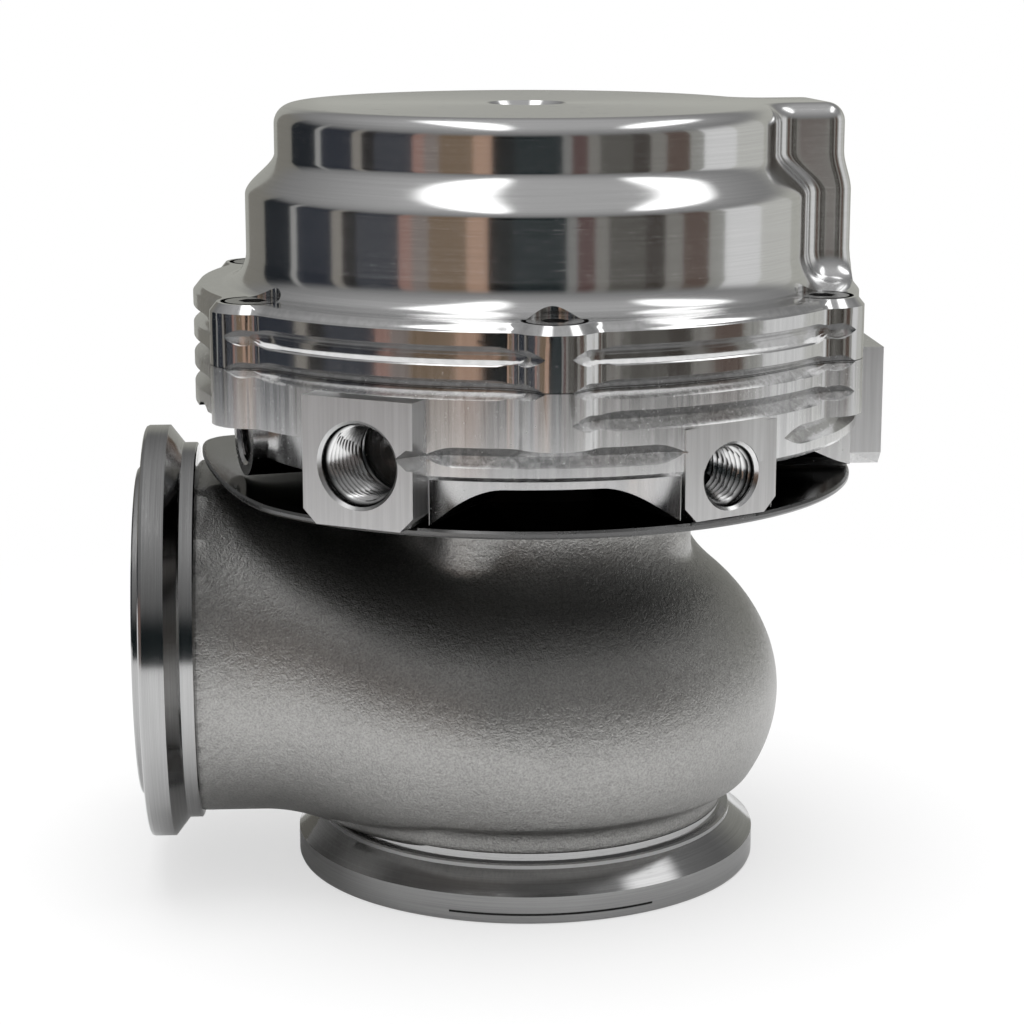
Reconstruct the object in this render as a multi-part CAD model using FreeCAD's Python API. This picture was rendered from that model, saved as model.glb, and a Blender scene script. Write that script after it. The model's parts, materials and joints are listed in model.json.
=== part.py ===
"""Turbo wastegate with V-band inlet and outlet, a sprung poppet valve and a diaphragm actuator.

Millimetres, +Z up. The origin is the centre of the inlet flange's face. The outlet points along -X,
and the water and air ports of the actuator face -Y. Clock angles are measured from -Y towards +X.
"""
import FreeCAD
import Part
import math
import os

V = FreeCAD.Vector

# ---- clearances ----
PRESS_GAP = 0.01
SLIDE_GAP = 0.05
THREAD_GAP = 0.05
RUNNING_GAP = 0.04
SEAT_GAP = 0.15
SCREW_HOLE_GAP = 0.3
HEAD_HOLE_GAP = 0.2
BORE_END_GAP = 0.5
STOP_GAP = 0.3
OVERCUT = 1.0

# ---- inlet flange and seat ----
INLET_RIM_R = 32.0
INLET_RIM_H = 3.8
INLET_LIP_R = 28.8
INLET_LIP_Z = 6.5
INLET_LIP_H = 0.6
INLET_NECK_R = 27.6
INLET_NECK_H = 1.1
RIM_CHAMFER = 0.5
SEAT_OD_R = 25.0
SEAT_BORE_R = 20.5
SEAT_H = 7.0
SEAT_LAND = 2.0

# ---- outlet flange ----
OUTLET_Z = 32.5
OUTLET_REACH = 53.3
OUTLET_PILOT_R = 22.6
OUTLET_PILOT_H = 1.2
OUTLET_RIM_R = 28.35
OUTLET_RIM_H = 3.3
OUTLET_CONE_H = 1.9
OUTLET_LIP_R = 25.9
OUTLET_LIP_H = 1.9
OUTLET_BORE_R = 20.6
OUTLET_BORE_DEPTH = 9.0
OUTLET_BORE_STEP = 0.4

# ---- cast body ----
BULB_R = 35.2
BULB_HALF_H = 25.8
BULB_Z = 24.0
BODY_WALL = 4.0
BODY_TOP_Z = 54.4
NECK_R = 21.8
NECK_BLEND = 3.0
TUBE_FLOOR_Z = 7.5
TUBE_END_R = 25.0
TUBE_WAIST_X = 35.0
TUBE_WAIST_R = 23.2
TUBE_ROOT_X = 5.0
TUBE_ROOT_HALF_H = 16.8
TUBE_ROOT_LIFT = 2.0
TUBE_EASE = 0.6
TUBE_SIDE_INSET = 0.8
PASSAGE_WALL = 4.2
PASSAGE_ROOT_X = 13.0
PASSAGE_ROOT_R = 14.0
CHAMBER_CEILING_Z = 40.0
SEAT_SHOULDER = 1.0
GUIDE_BOSS_R = 9.5
GUIDE_BOSS_Z = 34.5

# ---- valve ----
VALVE_LIFT = 12.0
VALVE_RIM_R = 22.3
VALVE_RIM_H = 1.2
VALVE_DISH_R = 15.0
VALVE_DISH_FLOOR_R = 11.0
VALVE_DISH_DEPTH = 1.2
TULIP_H = 9.0
TULIP_WAIST_R = 8.2
TULIP_WAIST_SHARE = 0.33
VALVE_EDGE = 0.1
STEM_R = 4.0
STEM_THREAD_R = 3.0
GUIDE_R = 6.5
GUIDE_Z0 = 31.0

# ---- heat shield ----
SHIELD_R = 44.3
SHIELD_T = 1.0
SHIELD_HOLE_R = 9.0
SHIELD_BEND_X = 34.0
SHIELD_BEND_R = 18.0

# ---- body screws, from inside the actuator base into the casting ----
BODY_SCREW_COUNT = 4
BODY_SCREW_CLOCK = -27.0
BODY_SCREW_CIRCLE_R = 20.0
BODY_SCREW_R = 2.5
BODY_SCREW_HEAD_R = 4.25
BODY_SCREW_HEAD_H = 5.0
BODY_SCREW_BITE = 10.0
BODY_BOSS_R = 6.2
WASHER_R = 4.6
WASHER_T = 1.0

# ---- actuator base ----
SPLIT_Z = 73.0
WALL_R = 45.0
BOLT_CIRCLE_R = 42.3
LOBE_R = 5.5
LOBE_BLEND = 2.5
LOBE_COUNT = 6
LOBE_DEPTH = 7.6
SKIRT_Z = 61.6
SKIRT_CHAMFER = 0.6
HUB_R = 38.0
HUB_Z = 59.3
PAD_R = 27.0
ARCH_R = 7.0
ARCH_REACH = 6.0
CORNER_R = 10.0
LOWER_CHAMBER_R = 36.6
LOWER_FLOOR_Z = 65.9
GALLERY_R0 = 25.6
GALLERY_R1 = 31.2
GALLERY_Z0 = 60.9
GALLERY_H = 2.6
POCKET_CLOCK = (-115.0, -42.0)

# ---- ports: clock angle, face distance, half width, bottom and top, hole height ----
AIR_PORT_R = 5.18
AIR_PORT_DEPTH = 11.0
AIR_FEED_R = 2.8
AIR_FEED_INSET = 1.0
WATER_PORT_R = 4.0
WATER_PORT_DEPTH = 9.0
WATER_FEED_R = 2.0
PORT_CHAMFER = 0.4
BLOCK_GAP = 0.3
BLOCK_ROOT_R = 20.0
BLOCK_CORNER = 1.8
FRONT_AIR_CLOCK = -30.0
REAR_AIR_CLOCK = 90.0
AIR_BLOCK_FACE = 48.0
AIR_BLOCK_HALF = 7.6
AIR_BLOCK_TOP = 72.0
AIR_PORT_Z = 63.4
FRONT_WATER_CLOCK = 30.0
WATER_BLOCK_FACE = 44.7
WATER_BLOCK_HALF = 7.2
WATER_BLOCK_TOP = 67.4
FRONT_WATER_Z = 60.9
SIDE_WATER_CLOCK = -76.0
SIDE_WATER_FACE = 39.6
SIDE_WATER_BOSS_R = 5.8
SIDE_WATER_Z = 61.9

# ---- cooling grooves ----
GROOVE_Z = (77.0, 72.9, 69.0, 64.6)
GROOVE_ROOT_R = 43.5
GROOVE_DEPTH = 1.5
GROOVE_HALF_H = 1.25
GROOVE_CUTTER_R = 8.0
GROOVE_MARGIN = 10.0
SHORT_GROOVES = ((-15.5, 15.5), (47.0, 72.0))

# ---- cap ----
FLANGE_TOP_Z = 81.0
LOBE_CHAMFER = 0.9
DOME_R = 37.8
DOME_BASE_BLEND = 3.0
DOME_STEP_Z = 92.6
STEP_H = 5.5
CROWN_R = 33.8
CAP_TOP_Z = 104.5
CROWN_ROUND = 2.6
CAP_WALL = 3.5
STOP_BOSS_R = 9.0
EAR_CLOCK = 96.0
EAR_REACH = 43.9
EAR_CROWN_REACH = 42.8
EAR_HALF = 8.2
EAR_VALLEY_R = 3.6
EAR_CORNER_R = 3.0
EAR_PORT_Z = 90.0
EAR_PORT_DEPTH = 6.5
EAR_SPOT_FACE_R = 7.2
SPOT_FACE_DEPTH = 0.1
TOP_RECESS_R = 4.8
TOP_RECESS_DEPTH = 1.5
TOP_RECESS_CHAMFER = 0.6

# ---- cap screws ----
CAP_SCREW_R = 2.0
CAP_SCREW_HEAD_R = 3.5
CAP_SCREW_HEAD_H = 4.0
CAP_COUNTERBORE_R = 4.1
CAP_SCREW_BITE = 6.0
HEX_SOCKET_SHARE = 0.45

# ---- rod bushing, seal and clip in the actuator base ----
BUSHING_R = 7.0
BUSHING_Z0 = 56.6
BUSHING_H = 5.6
BUSHING_LEDGE = 1.5
ROD_SEAL_H = 2.0
CLIP_T = 0.9
CLIP_DEPTH = 0.8
CLIP_WIDTH = 2.0
CLIP_OPENING = 3.0
SEAL_LIP = 1.0

# ---- moving stack on the stem ----
STACK_Z = 66.7
PLATE_R = 31.5
PLATE_T = 1.9
DIAPHRAGM_T = 1.1
DIAPHRAGM_R = 39.9
DIAPHRAGM_SIDE_R = 33.2
PISTON_R = 31.5
PISTON_FLOOR_T = 2.8
PISTON_WALL = 1.8
PISTON_RIM_H = 4.5
PLATE_BEVEL = 1.0
NUT_FLAT_R = 5.0
NUT_H = 5.0
NUT_WASHER_R = 6.0
NUT_WASHER_T = 1.2
STEM_TAIL = 1.2

# ---- springs: mean radius, wire radius, turns; the last turn at each end is wound closed ----
SPRINGS = {
    "outer_spring": (26.6, 1.7, 3.5),
    "middle_spring": (20.0, 1.4, 4.5),
    "inner_spring": (13.4, 1.2, 5.5),
}

SHIELD_TOP_Z = BODY_TOP_Z + SHIELD_T
LOBE_CLOCKS = [i * 360.0 / LOBE_COUNT for i in range(LOBE_COUNT)]
PISTON_SEAT_Z = STACK_Z + PLATE_T + DIAPHRAGM_T
SPRING_Z0 = PISTON_SEAT_Z + PISTON_FLOOR_T
SPRING_Z1 = CAP_TOP_Z - CAP_WALL
STEM_TOP_Z = SPRING_Z0 + NUT_WASHER_T + NUT_H + STEM_TAIL
STOP_Z = STEM_TOP_Z + VALVE_LIFT + STOP_GAP
BODY_SCREW_SEAT_Z = LOWER_FLOOR_Z - BODY_SCREW_HEAD_H - WASHER_T - HEAD_HOLE_GAP
CAP_SCREW_SEAT_Z = FLANGE_TOP_Z - CAP_SCREW_HEAD_H
LOFT_STEPS = 5
OVAL_POINTS = 16
SPRING_STATIONS = 20


# ---- small drawing helpers ----
def clock(angle, radius, z=0.0):
    """Point at a clock angle, measured from -Y towards +X."""
    a = math.radians(angle)
    return V(radius * math.sin(a), -radius * math.cos(a), z)


def disc(radius, z0, z1, centre=None):
    base = V(0, 0, z0) if centre is None else V(centre.x, centre.y, z0)
    return Part.makeCylinder(radius, z1 - z0, base)


def ring(outer, inner, z0, z1):
    return disc(outer, z0, z1).cut(disc(inner, z0 - OVERCUT, z1 + OVERCUT))


def turned(points):
    """Solid of revolution about Z of a closed (radius, height) outline."""
    wire = Part.makePolygon([V(r, 0, z) for r, z in points + points[:1]])
    return Part.Face(wire).revolve(V(0, 0, 0), V(0, 0, 1), 360)


def radial(angle, radius, r0, r1, z):
    """Cylinder along a clock direction, from distance r0 to r1."""
    direction = clock(angle, 1.0)
    return Part.makeCylinder(radius, r1 - r0, clock(angle, r0, z), direction)


def fused(shapes):
    return shapes[0].fuse(shapes[1:]).removeSplitter()


def machined(shape, tools):
    """The single solid left when each tool in turn has been cut away."""
    for tool in tools:
        shape = shape.cut(tool)
    return solid_of(shape)


def clocked_box(angle, half, r0, r1, z0, z1):
    """Block whose outer face is square to a clock direction."""
    box = Part.makeBox(2 * half, r1 - r0, z1 - z0, V(-half, -r1, z0))
    box.rotate(V(0, 0, 0), V(0, 0, 1), angle)
    return box


def solid_of(shape):
    """The single solid that a boolean result holds."""
    solids = shape.Solids
    if len(solids) != 1:
        raise ValueError("expected one solid, found %d" % len(solids))
    return solids[0]


# ---- outlines of the actuator ----
def lobed_outline(z):
    """Round wall with a lobe at each cap screw, every join a tangent arc."""
    wall = WALL_R + LOBE_BLEND
    lobe = LOBE_R + LOBE_BLEND
    swing = math.acos((wall**2 + BOLT_CIRCLE_R**2 - lobe**2) / (2 * wall * BOLT_CIRCLE_R))
    swing = math.degrees(swing)
    pitch = 360.0 / LOBE_COUNT
    arcs = []
    for angle in LOBE_CLOCKS:
        centre = clock(angle, BOLT_CIRCLE_R, z)
        ends = []
        for side in (-1, 1):
            blend = clock(angle + side * swing, wall, z)
            on_wall = clock(angle + side * swing, WALL_R, z)
            on_lobe = centre + (blend - centre).normalize() * LOBE_R
            toward = ((on_wall + on_lobe) * 0.5 - blend).normalize()
            ends.append((on_wall, blend + toward * LOBE_BLEND, on_lobe))
        arcs.append(Part.Arc(*ends[0]))
        arcs.append(Part.Arc(ends[0][2], clock(angle, BOLT_CIRCLE_R + LOBE_R, z), ends[1][2]))
        arcs.append(Part.Arc(ends[1][2], ends[1][1], ends[1][0]))
        next_wall = clock(angle + pitch - swing, WALL_R, z)
        arcs.append(Part.Arc(ends[1][0], clock(angle + pitch / 2, WALL_R, z), next_wall))
    return Part.Wire([arc.toShape() for arc in arcs])


def lobed_plate(z0, z1):
    return Part.Face(lobed_outline(z0)).extrude(V(0, 0, z1 - z0))


def eared_outline(z, dome, reach, half, valley, corner):
    """Round dome with one square-ended ear, drawn with the ear along +X and then clocked."""
    run = math.sqrt((dome + valley) ** 2 - (half + valley) ** 2)
    points = []
    for side in (-1, 1):
        centre = V(run, side * (half + valley), z)
        on_dome = V(centre.x, centre.y, 0) * (dome / (dome + valley)) + V(0, 0, z)
        on_side = V(run, side * half, z)
        toward = ((on_dome + on_side) * 0.5 - centre).normalize()
        bend = V(reach - corner, side * (half - corner), z)
        diagonal = V(1, side, 0).normalize() * corner
        points.append({
            "dome": on_dome,
            "valley": centre + toward * valley,
            "side": on_side,
            "bend": V(bend.x, side * half, z),
            "tip": bend + diagonal,
            "face": V(reach, bend.y, z),
        })
    low, high = points
    pieces = [
        Part.Arc(high["dome"], V(-dome, 0, z), low["dome"]),
        Part.Arc(low["dome"], low["valley"], low["side"]),
        Part.LineSegment(low["side"], low["bend"]),
        Part.Arc(low["bend"], low["tip"], low["face"]),
        Part.LineSegment(low["face"], high["face"]),
        Part.Arc(high["face"], high["tip"], high["bend"]),
        Part.LineSegment(high["bend"], high["side"]),
        Part.Arc(high["side"], high["valley"], high["dome"]),
    ]
    wire = Part.Wire([piece.toShape() for piece in pieces])
    wire.rotate(V(0, 0, 0), V(0, 0, 1), EAR_CLOCK - 90)
    return wire


def dome_section(z, grow=0.0):
    """Section of the dome's lower step, grown outwards by an amount."""
    sizes = (DOME_R, EAR_REACH, EAR_HALF)
    return eared_outline(z, *[size + grow for size in sizes], EAR_VALLEY_R - grow, EAR_CORNER_R + grow)


def crown_section(z, grow=0.0):
    sizes = (CROWN_R, EAR_CROWN_REACH, EAR_HALF)
    return eared_outline(z, *[size + grow for size in sizes], EAR_VALLEY_R - grow, EAR_CORNER_R + grow)


def step_section(z, share):
    """Section part of the way from the dome to the crown."""
    return eared_outline(
        z,
        DOME_R + (CROWN_R - DOME_R) * share,
        EAR_REACH + (EAR_CROWN_REACH - EAR_REACH) * share,
        EAR_HALF,
        EAR_VALLEY_R,
        EAR_CORNER_R,
    )


def groove_tool(z, start, end):
    """V-edged disc cutter run along the wall from one clock angle to another."""
    tail = GROOVE_CUTTER_R
    edge = [(0.0, 0.0), (GROOVE_DEPTH, GROOVE_HALF_H), (tail, GROOVE_HALF_H),
            (tail, -GROOVE_HALF_H), (GROOVE_DEPTH, -GROOVE_HALF_H), (0.0, 0.0)]
    track = Part.makePolygon([V(0, -(GROOVE_ROOT_R + out), z + up) for out, up in edge])
    band = Part.Face(track).revolve(V(0, 0, 0), V(0, 0, 1), end - start)
    band.rotate(V(0, 0, 0), V(0, 0, 1), start)
    tools = [band]
    for angle in (start, end):
        centre = clock(angle, GROOVE_ROOT_R + GROOVE_CUTTER_R, 0)
        profile = Part.makePolygon([V(GROOVE_CUTTER_R - out, 0, z + up) for out, up in edge])
        cutter = Part.Face(profile).revolve(V(0, 0, 0), V(0, 0, 1), 360)
        cutter.translate(centre)
        tools.append(cutter)
    return tools


def groove_tools(z, skipped=()):
    """Cutters for one groove height, between each pair of lobes whose number isn't skipped."""
    pitch = 360.0 / LOBE_COUNT
    tools = []
    for i in range(LOBE_COUNT):
        if i not in skipped:
            tools += groove_tool(z, i * pitch + GROOVE_MARGIN, (i + 1) * pitch - GROOVE_MARGIN)
    return tools


# ---- cast body ----
def tube_station(x, half_w, half_h, floor_z):
    """Closed oval section of the outlet tube at a distance from the valve's axis."""
    points = []
    for i in range(OVAL_POINTS):
        a = 2 * math.pi * i / OVAL_POINTS
        points.append(V(-x, half_w * math.sin(a), floor_z + half_h * (1 + math.cos(a))))
    oval = Part.BSplineCurve()
    oval.interpolate(points, True)
    return Part.Wire(oval.toShape())


def round_station(x, radius, floor_z):
    return tube_station(x, radius, radius, floor_z)


def body_bulb():
    """Inlet flange, bulb and top neck, turned about the valve's axis."""
    lip_top = INLET_LIP_Z + INLET_LIP_H
    neck_top = lip_top + INLET_NECK_H
    start = -math.acos(INLET_LIP_R / BULB_R)
    bulb_z0 = BULB_Z + BULB_HALF_H * math.sin(start)
    end = math.acos((NECK_R + NECK_BLEND * 0.5) / BULB_R)
    bulb_end = V(BULB_R * math.cos(end), 0, BULB_Z + BULB_HALF_H * math.sin(end))
    ellipse = Part.Ellipse(V(BULB_R, 0, BULB_Z), V(0, 0, BULB_Z + BULB_HALF_H), V(0, 0, BULB_Z))
    side = Part.ArcOfEllipse(ellipse, start, end).toShape()
    flange = [
        V(0, 0, 0), V(INLET_RIM_R - RIM_CHAMFER, 0, 0), V(INLET_RIM_R, 0, RIM_CHAMFER),
        V(INLET_RIM_R, 0, INLET_RIM_H), V(INLET_LIP_R, 0, INLET_LIP_Z), V(INLET_LIP_R, 0, lip_top),
        V(INLET_NECK_R, 0, lip_top), V(INLET_NECK_R, 0, neck_top), V(INLET_LIP_R, 0, bulb_z0),
    ]
    top = [
        bulb_end, V(NECK_R, 0, bulb_end.z + NECK_BLEND), V(NECK_R, 0, BODY_TOP_Z), V(0, 0, BODY_TOP_Z),
        V(0, 0, 0),
    ]
    wire = Part.Wire(Part.makePolygon(flange).Edges + [side] + Part.makePolygon(top).Edges)
    return Part.Face(wire).revolve(V(0, 0, 0), V(0, 0, 1), 360)


def outlet_tube():
    """Round at the flange, then wider and lower until it runs into the sides of the bulb."""
    lip_x = OUTLET_REACH - OUTLET_PILOT_H - OUTLET_RIM_H - OUTLET_CONE_H
    mid_x = (lip_x + TUBE_WAIST_X) / 2
    stations = [
        round_station(lip_x, TUBE_END_R, TUBE_FLOOR_Z),
        tube_station(mid_x, TUBE_END_R - TUBE_EASE, TUBE_WAIST_R + TUBE_EASE, TUBE_FLOOR_Z),
    ]
    reach = TUBE_WAIST_X - TUBE_ROOT_X
    side_r = BULB_R - TUBE_SIDE_INSET
    for share in (0.0, 0.3, 0.65, 1.0):
        x = TUBE_WAIST_X - reach * share
        half_w = TUBE_END_R + (side_r - TUBE_END_R) * math.sin(share * math.pi / 2)
        half_h = TUBE_WAIST_R + (TUBE_ROOT_HALF_H - TUBE_WAIST_R) * share
        stations.append(tube_station(x, half_w, half_h, TUBE_FLOOR_Z + TUBE_ROOT_LIFT * share))
    return Part.makeLoft(stations, True, False)


def outlet_flange():
    """V-band flange turned about the outlet's axis, drawn as (radius, distance from the valve axis)."""
    face = OUTLET_REACH - OUTLET_PILOT_H
    back = face - OUTLET_RIM_H
    lip = back - OUTLET_CONE_H
    outline = [
        (0, lip - OUTLET_LIP_H), (OUTLET_LIP_R, lip - OUTLET_LIP_H), (OUTLET_LIP_R, lip),
        (OUTLET_RIM_R, back), (OUTLET_RIM_R, face - RIM_CHAMFER), (OUTLET_RIM_R - RIM_CHAMFER, face),
        (OUTLET_PILOT_R, face), (OUTLET_PILOT_R, OUTLET_REACH), (0, OUTLET_REACH),
    ]
    wire = Part.makePolygon([V(-x, 0, OUTLET_Z + r) for r, x in outline + outline[:1]])
    return Part.Face(wire).revolve(V(0, 0, OUTLET_Z), V(1, 0, 0), 360)


def screw_bosses():
    """Round-bottomed bosses around the neck that take the body screws."""
    bosses = []
    low = BODY_TOP_Z - BODY_SCREW_BITE
    for at in body_screw_spots():
        bosses.append(disc(BODY_BOSS_R, low, BODY_TOP_Z, at))
        bosses.append(Part.makeSphere(BODY_BOSS_R, V(at.x, at.y, low)))
    return bosses


def gas_chamber():
    """Hollow that follows the bulb's ellipse inside the wall, with the valve guide's boss standing in it."""
    inner_r = BULB_R - BODY_WALL
    inner_h = BULB_HALF_H - BODY_WALL
    throat = SEAT_OD_R - SEAT_SHOULDER
    start = -math.acos(throat / inner_r)
    end = math.asin((CHAMBER_CEILING_Z - BULB_Z) / inner_h)
    ellipse = Part.Ellipse(V(inner_r, 0, BULB_Z), V(0, 0, BULB_Z + inner_h), V(0, 0, BULB_Z))
    side = Part.ArcOfEllipse(ellipse, start, end).toShape()
    throat_top = V(throat, 0, BULB_Z + inner_h * math.sin(start))
    ceiling = V(inner_r * math.cos(end), 0, CHAMBER_CEILING_Z)
    below = [V(0, 0, SEAT_H - OVERCUT), V(throat, 0, SEAT_H - OVERCUT), throat_top]
    above = [
        ceiling, V(GUIDE_BOSS_R, 0, CHAMBER_CEILING_Z), V(GUIDE_BOSS_R, 0, GUIDE_BOSS_Z),
        V(0, 0, GUIDE_BOSS_Z), below[0],
    ]
    wire = Part.Wire(Part.makePolygon(below).Edges + [side] + Part.makePolygon(above).Edges)
    return Part.Face(wire).revolve(V(0, 0, 0), V(0, 0, 1), 360)


def outlet_passage():
    """Machined bore at the flange and the cast passage that runs from it into the bulb."""
    far = OUTLET_REACH + OVERCUT
    bore_end = OUTLET_REACH - OUTLET_BORE_DEPTH
    bore = Part.makeCylinder(OUTLET_BORE_R, far - bore_end, V(-far, 0, OUTLET_Z), V(1, 0, 0))
    cast_r = OUTLET_BORE_R - OUTLET_BORE_STEP
    floor = OUTLET_Z - cast_r
    cast = Part.makeLoft([
        round_station(bore_end + OVERCUT, cast_r, floor),
        round_station(TUBE_WAIST_X, TUBE_WAIST_R - PASSAGE_WALL, floor),
        round_station(PASSAGE_ROOT_X, PASSAGE_ROOT_R, floor),
    ], True, False)
    return [bore, cast]


def valve_body():
    shell = fused([body_bulb(), outlet_tube(), outlet_flange()] + screw_bosses())
    tools = [gas_chamber()] + outlet_passage()
    tools.append(disc(SEAT_OD_R + PRESS_GAP, -OVERCUT, SEAT_H))
    tools.append(disc(GUIDE_R + PRESS_GAP, GUIDE_BOSS_Z - OVERCUT, BODY_TOP_Z + OVERCUT))
    tap_end = BODY_TOP_Z - BODY_SCREW_BITE - BORE_END_GAP
    for at in body_screw_spots():
        tools.append(disc(BODY_SCREW_R + THREAD_GAP, tap_end, BODY_TOP_Z + OVERCUT, at))
    return machined(shell, tools)


def valve_seat():
    land_z = SEAT_H - SEAT_LAND
    return turned([
        (SEAT_BORE_R, 0), (SEAT_OD_R, 0), (SEAT_OD_R, SEAT_H),
        (SEAT_BORE_R + SEAT_LAND, SEAT_H), (SEAT_BORE_R, land_z),
    ])


def valve_guide():
    return ring(GUIDE_R, STEM_R + RUNNING_GAP, GUIDE_Z0, BODY_TOP_Z)


def heat_shield():
    """Flat disc whose outlet end turns up in one arc to clear the outlet tube."""
    outer_r = SHIELD_BEND_R
    centre = V(-SHIELD_BEND_X, 0, BODY_TOP_Z + outer_r)
    swing = math.asin((SHIELD_R + OVERCUT - SHIELD_BEND_X) / outer_r)
    low, high = [], []
    for radius, points in ((outer_r, low), (outer_r - SHIELD_T, high)):
        for share in (0.0, 0.5, 1.0):
            a = swing * share
            points.append(centre + V(-radius * math.sin(a), 0, -radius * math.cos(a)))
    right_low = V(SHIELD_R + OVERCUT, 0, BODY_TOP_Z)
    right_high = V(SHIELD_R + OVERCUT, 0, SHIELD_TOP_Z)
    wire = Part.Wire([
        Part.LineSegment(right_low, low[0]).toShape(),
        Part.Arc(*low).toShape(),
        Part.LineSegment(low[2], high[2]).toShape(),
        Part.Arc(high[2], high[1], high[0]).toShape(),
        Part.LineSegment(high[0], right_high).toShape(),
        Part.LineSegment(right_high, right_low).toShape(),
    ])
    wire.translate(V(0, -SHIELD_R - OVERCUT, 0))
    sheet = Part.Face(wire).extrude(V(0, 2 * (SHIELD_R + OVERCUT), 0))
    below = BODY_TOP_Z - OVERCUT
    above = SHIELD_TOP_Z + OVERCUT
    blank = disc(SHIELD_R, below, BODY_TOP_Z + SHIELD_BEND_R)
    holes = [disc(SHIELD_HOLE_R, below, above)]
    for at in body_screw_spots():
        holes.append(disc(BODY_SCREW_R + SCREW_HOLE_GAP, below, above, at))
    return machined(sheet.common(blank), holes)


# ---- valve and its stack ----
def valve():
    """Poppet with a 45 degree land, a dished face and a tulip that runs into the stem."""
    inner = SEAT_BORE_R + VALVE_EDGE
    face_z = SEAT_H - SEAT_LAND + SEAT_GAP + VALVE_EDGE
    rim_z = face_z + VALVE_RIM_R - inner
    rim_top = rim_z + VALVE_RIM_H
    tulip_top = rim_top + TULIP_H
    dish_z = face_z + VALVE_DISH_DEPTH
    tulip = Part.Arc(
        V(VALVE_RIM_R, 0, rim_top),
        V(TULIP_WAIST_R, 0, rim_top + TULIP_H * TULIP_WAIST_SHARE),
        V(STEM_R, 0, tulip_top),
    )
    head = [
        V(0, 0, dish_z), V(VALVE_DISH_FLOOR_R, 0, dish_z), V(VALVE_DISH_R, 0, face_z),
        V(inner, 0, face_z), V(VALVE_RIM_R, 0, rim_z), V(VALVE_RIM_R, 0, rim_top),
    ]
    stem = [
        V(STEM_R, 0, tulip_top), V(STEM_R, 0, STACK_Z), V(STEM_THREAD_R, 0, STACK_Z),
        V(STEM_THREAD_R, 0, STEM_TOP_Z), V(0, 0, STEM_TOP_Z), head[0],
    ]
    wire = Part.Wire(Part.makePolygon(head).Edges + [tulip.toShape()] + Part.makePolygon(stem).Edges)
    return Part.Face(wire).revolve(V(0, 0, 0), V(0, 0, 1), 360)


def diaphragm_plate():
    top = STACK_Z + PLATE_T
    hole = STEM_THREAD_R + SLIDE_GAP
    return turned([
        (hole, STACK_Z), (PLATE_R - PLATE_BEVEL, STACK_Z), (PLATE_R, STACK_Z + PLATE_BEVEL),
        (PLATE_R, top), (hole, top),
    ])


def diaphragm():
    """Fabric-and-rubber disc: clamped flange, one rolled convolution and a flat web on the stem."""
    t = DIAPHRAGM_T
    web = STACK_Z + PLATE_T
    flange = SPLIT_Z - t
    hole = STEM_THREAD_R + SLIDE_GAP
    clamp = LOWER_CHAMBER_R - STOP_GAP
    roll = (clamp + DIAPHRAGM_SIDE_R) / 2
    web_r = PLATE_R + t / 2
    return turned([
        (hole, web), (web_r, web), (DIAPHRAGM_SIDE_R, web + t), (roll, flange - t / 2),
        (clamp, flange), (DIAPHRAGM_R, flange), (DIAPHRAGM_R, SPLIT_Z), (clamp - t / 4, SPLIT_Z),
        (roll - t / 2, flange + t / 2), (DIAPHRAGM_SIDE_R - t / 2, web + 2 * t), (web_r - t / 4, web + t),
        (hole, web + t),
    ])


def piston():
    """Spring cup clamped on top of the diaphragm."""
    z0 = PISTON_SEAT_Z
    rim = SPRING_Z0 + PISTON_RIM_H
    hole = STEM_THREAD_R + SLIDE_GAP
    cup = PISTON_R - PISTON_WALL
    return turned([
        (hole, z0), (PISTON_R - PLATE_BEVEL, z0), (PISTON_R, z0 + PLATE_BEVEL), (PISTON_R, rim),
        (cup, rim), (cup, SPRING_Z0), (hole, SPRING_Z0),
    ])


def hex_prism(flat, z0, z1):
    corner = flat / math.cos(math.pi / 6)
    points = [V(corner * math.cos(i * math.pi / 3), corner * math.sin(i * math.pi / 3), z0) for i in range(7)]
    return Part.Face(Part.makePolygon(points)).extrude(V(0, 0, z1 - z0))


def stem_nut():
    """Hexagon nut with its corners bevelled at both ends."""
    z0 = SPRING_Z0 + NUT_WASHER_T
    z1 = z0 + NUT_H
    corner = NUT_FLAT_R / math.cos(math.pi / 6)
    bevel = corner - NUT_FLAT_R
    rounded = turned([
        (0, z0), (NUT_FLAT_R, z0), (corner, z0 + bevel), (corner, z1 - bevel), (NUT_FLAT_R, z1), (0, z1),
    ])
    bore = disc(STEM_THREAD_R + THREAD_GAP, z0 - OVERCUT, z1 + OVERCUT)
    return machined(hex_prism(NUT_FLAT_R, z0, z1).common(rounded), [bore])


def stem_washer():
    return ring(NUT_WASHER_R, STEM_THREAD_R + SLIDE_GAP, SPRING_Z0, SPRING_Z0 + NUT_WASHER_T)


def coil_spring(mean_r, wire_r, turns):
    """Round wire wound between the piston's cup and the roof of the cap, ruled between circles on the coil.

    The height rises by one wire thickness a turn, and the rest of the rise is eased in half a turn from each
    end, so that the end turns lie closed.
    """
    low = SPRING_Z0 + wire_r
    closed = 2 * wire_r
    extra = SPRING_Z1 - wire_r - low - closed * turns
    section = Part.Wire(Part.Circle(V(mean_r, 0, 0), V(0, 1, 0), wire_r).toShape())
    wires = []
    count = round(turns * SPRING_STATIONS)
    for i in range(count + 1):
        turn = turns * i / count
        share = min(max((turn - 0.5) / (turns - 1), 0), 1)
        eased = share - math.sin(2 * math.pi * share) / (2 * math.pi)
        wire = section.copy()
        wire.translate(V(0, 0, low + closed * turn + extra * eased))
        wire.rotate(V(0, 0, 0), V(0, 0, 1), 360 * turn)
        wires.append(wire)
    return Part.makeLoft(wires, True, True)


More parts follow.
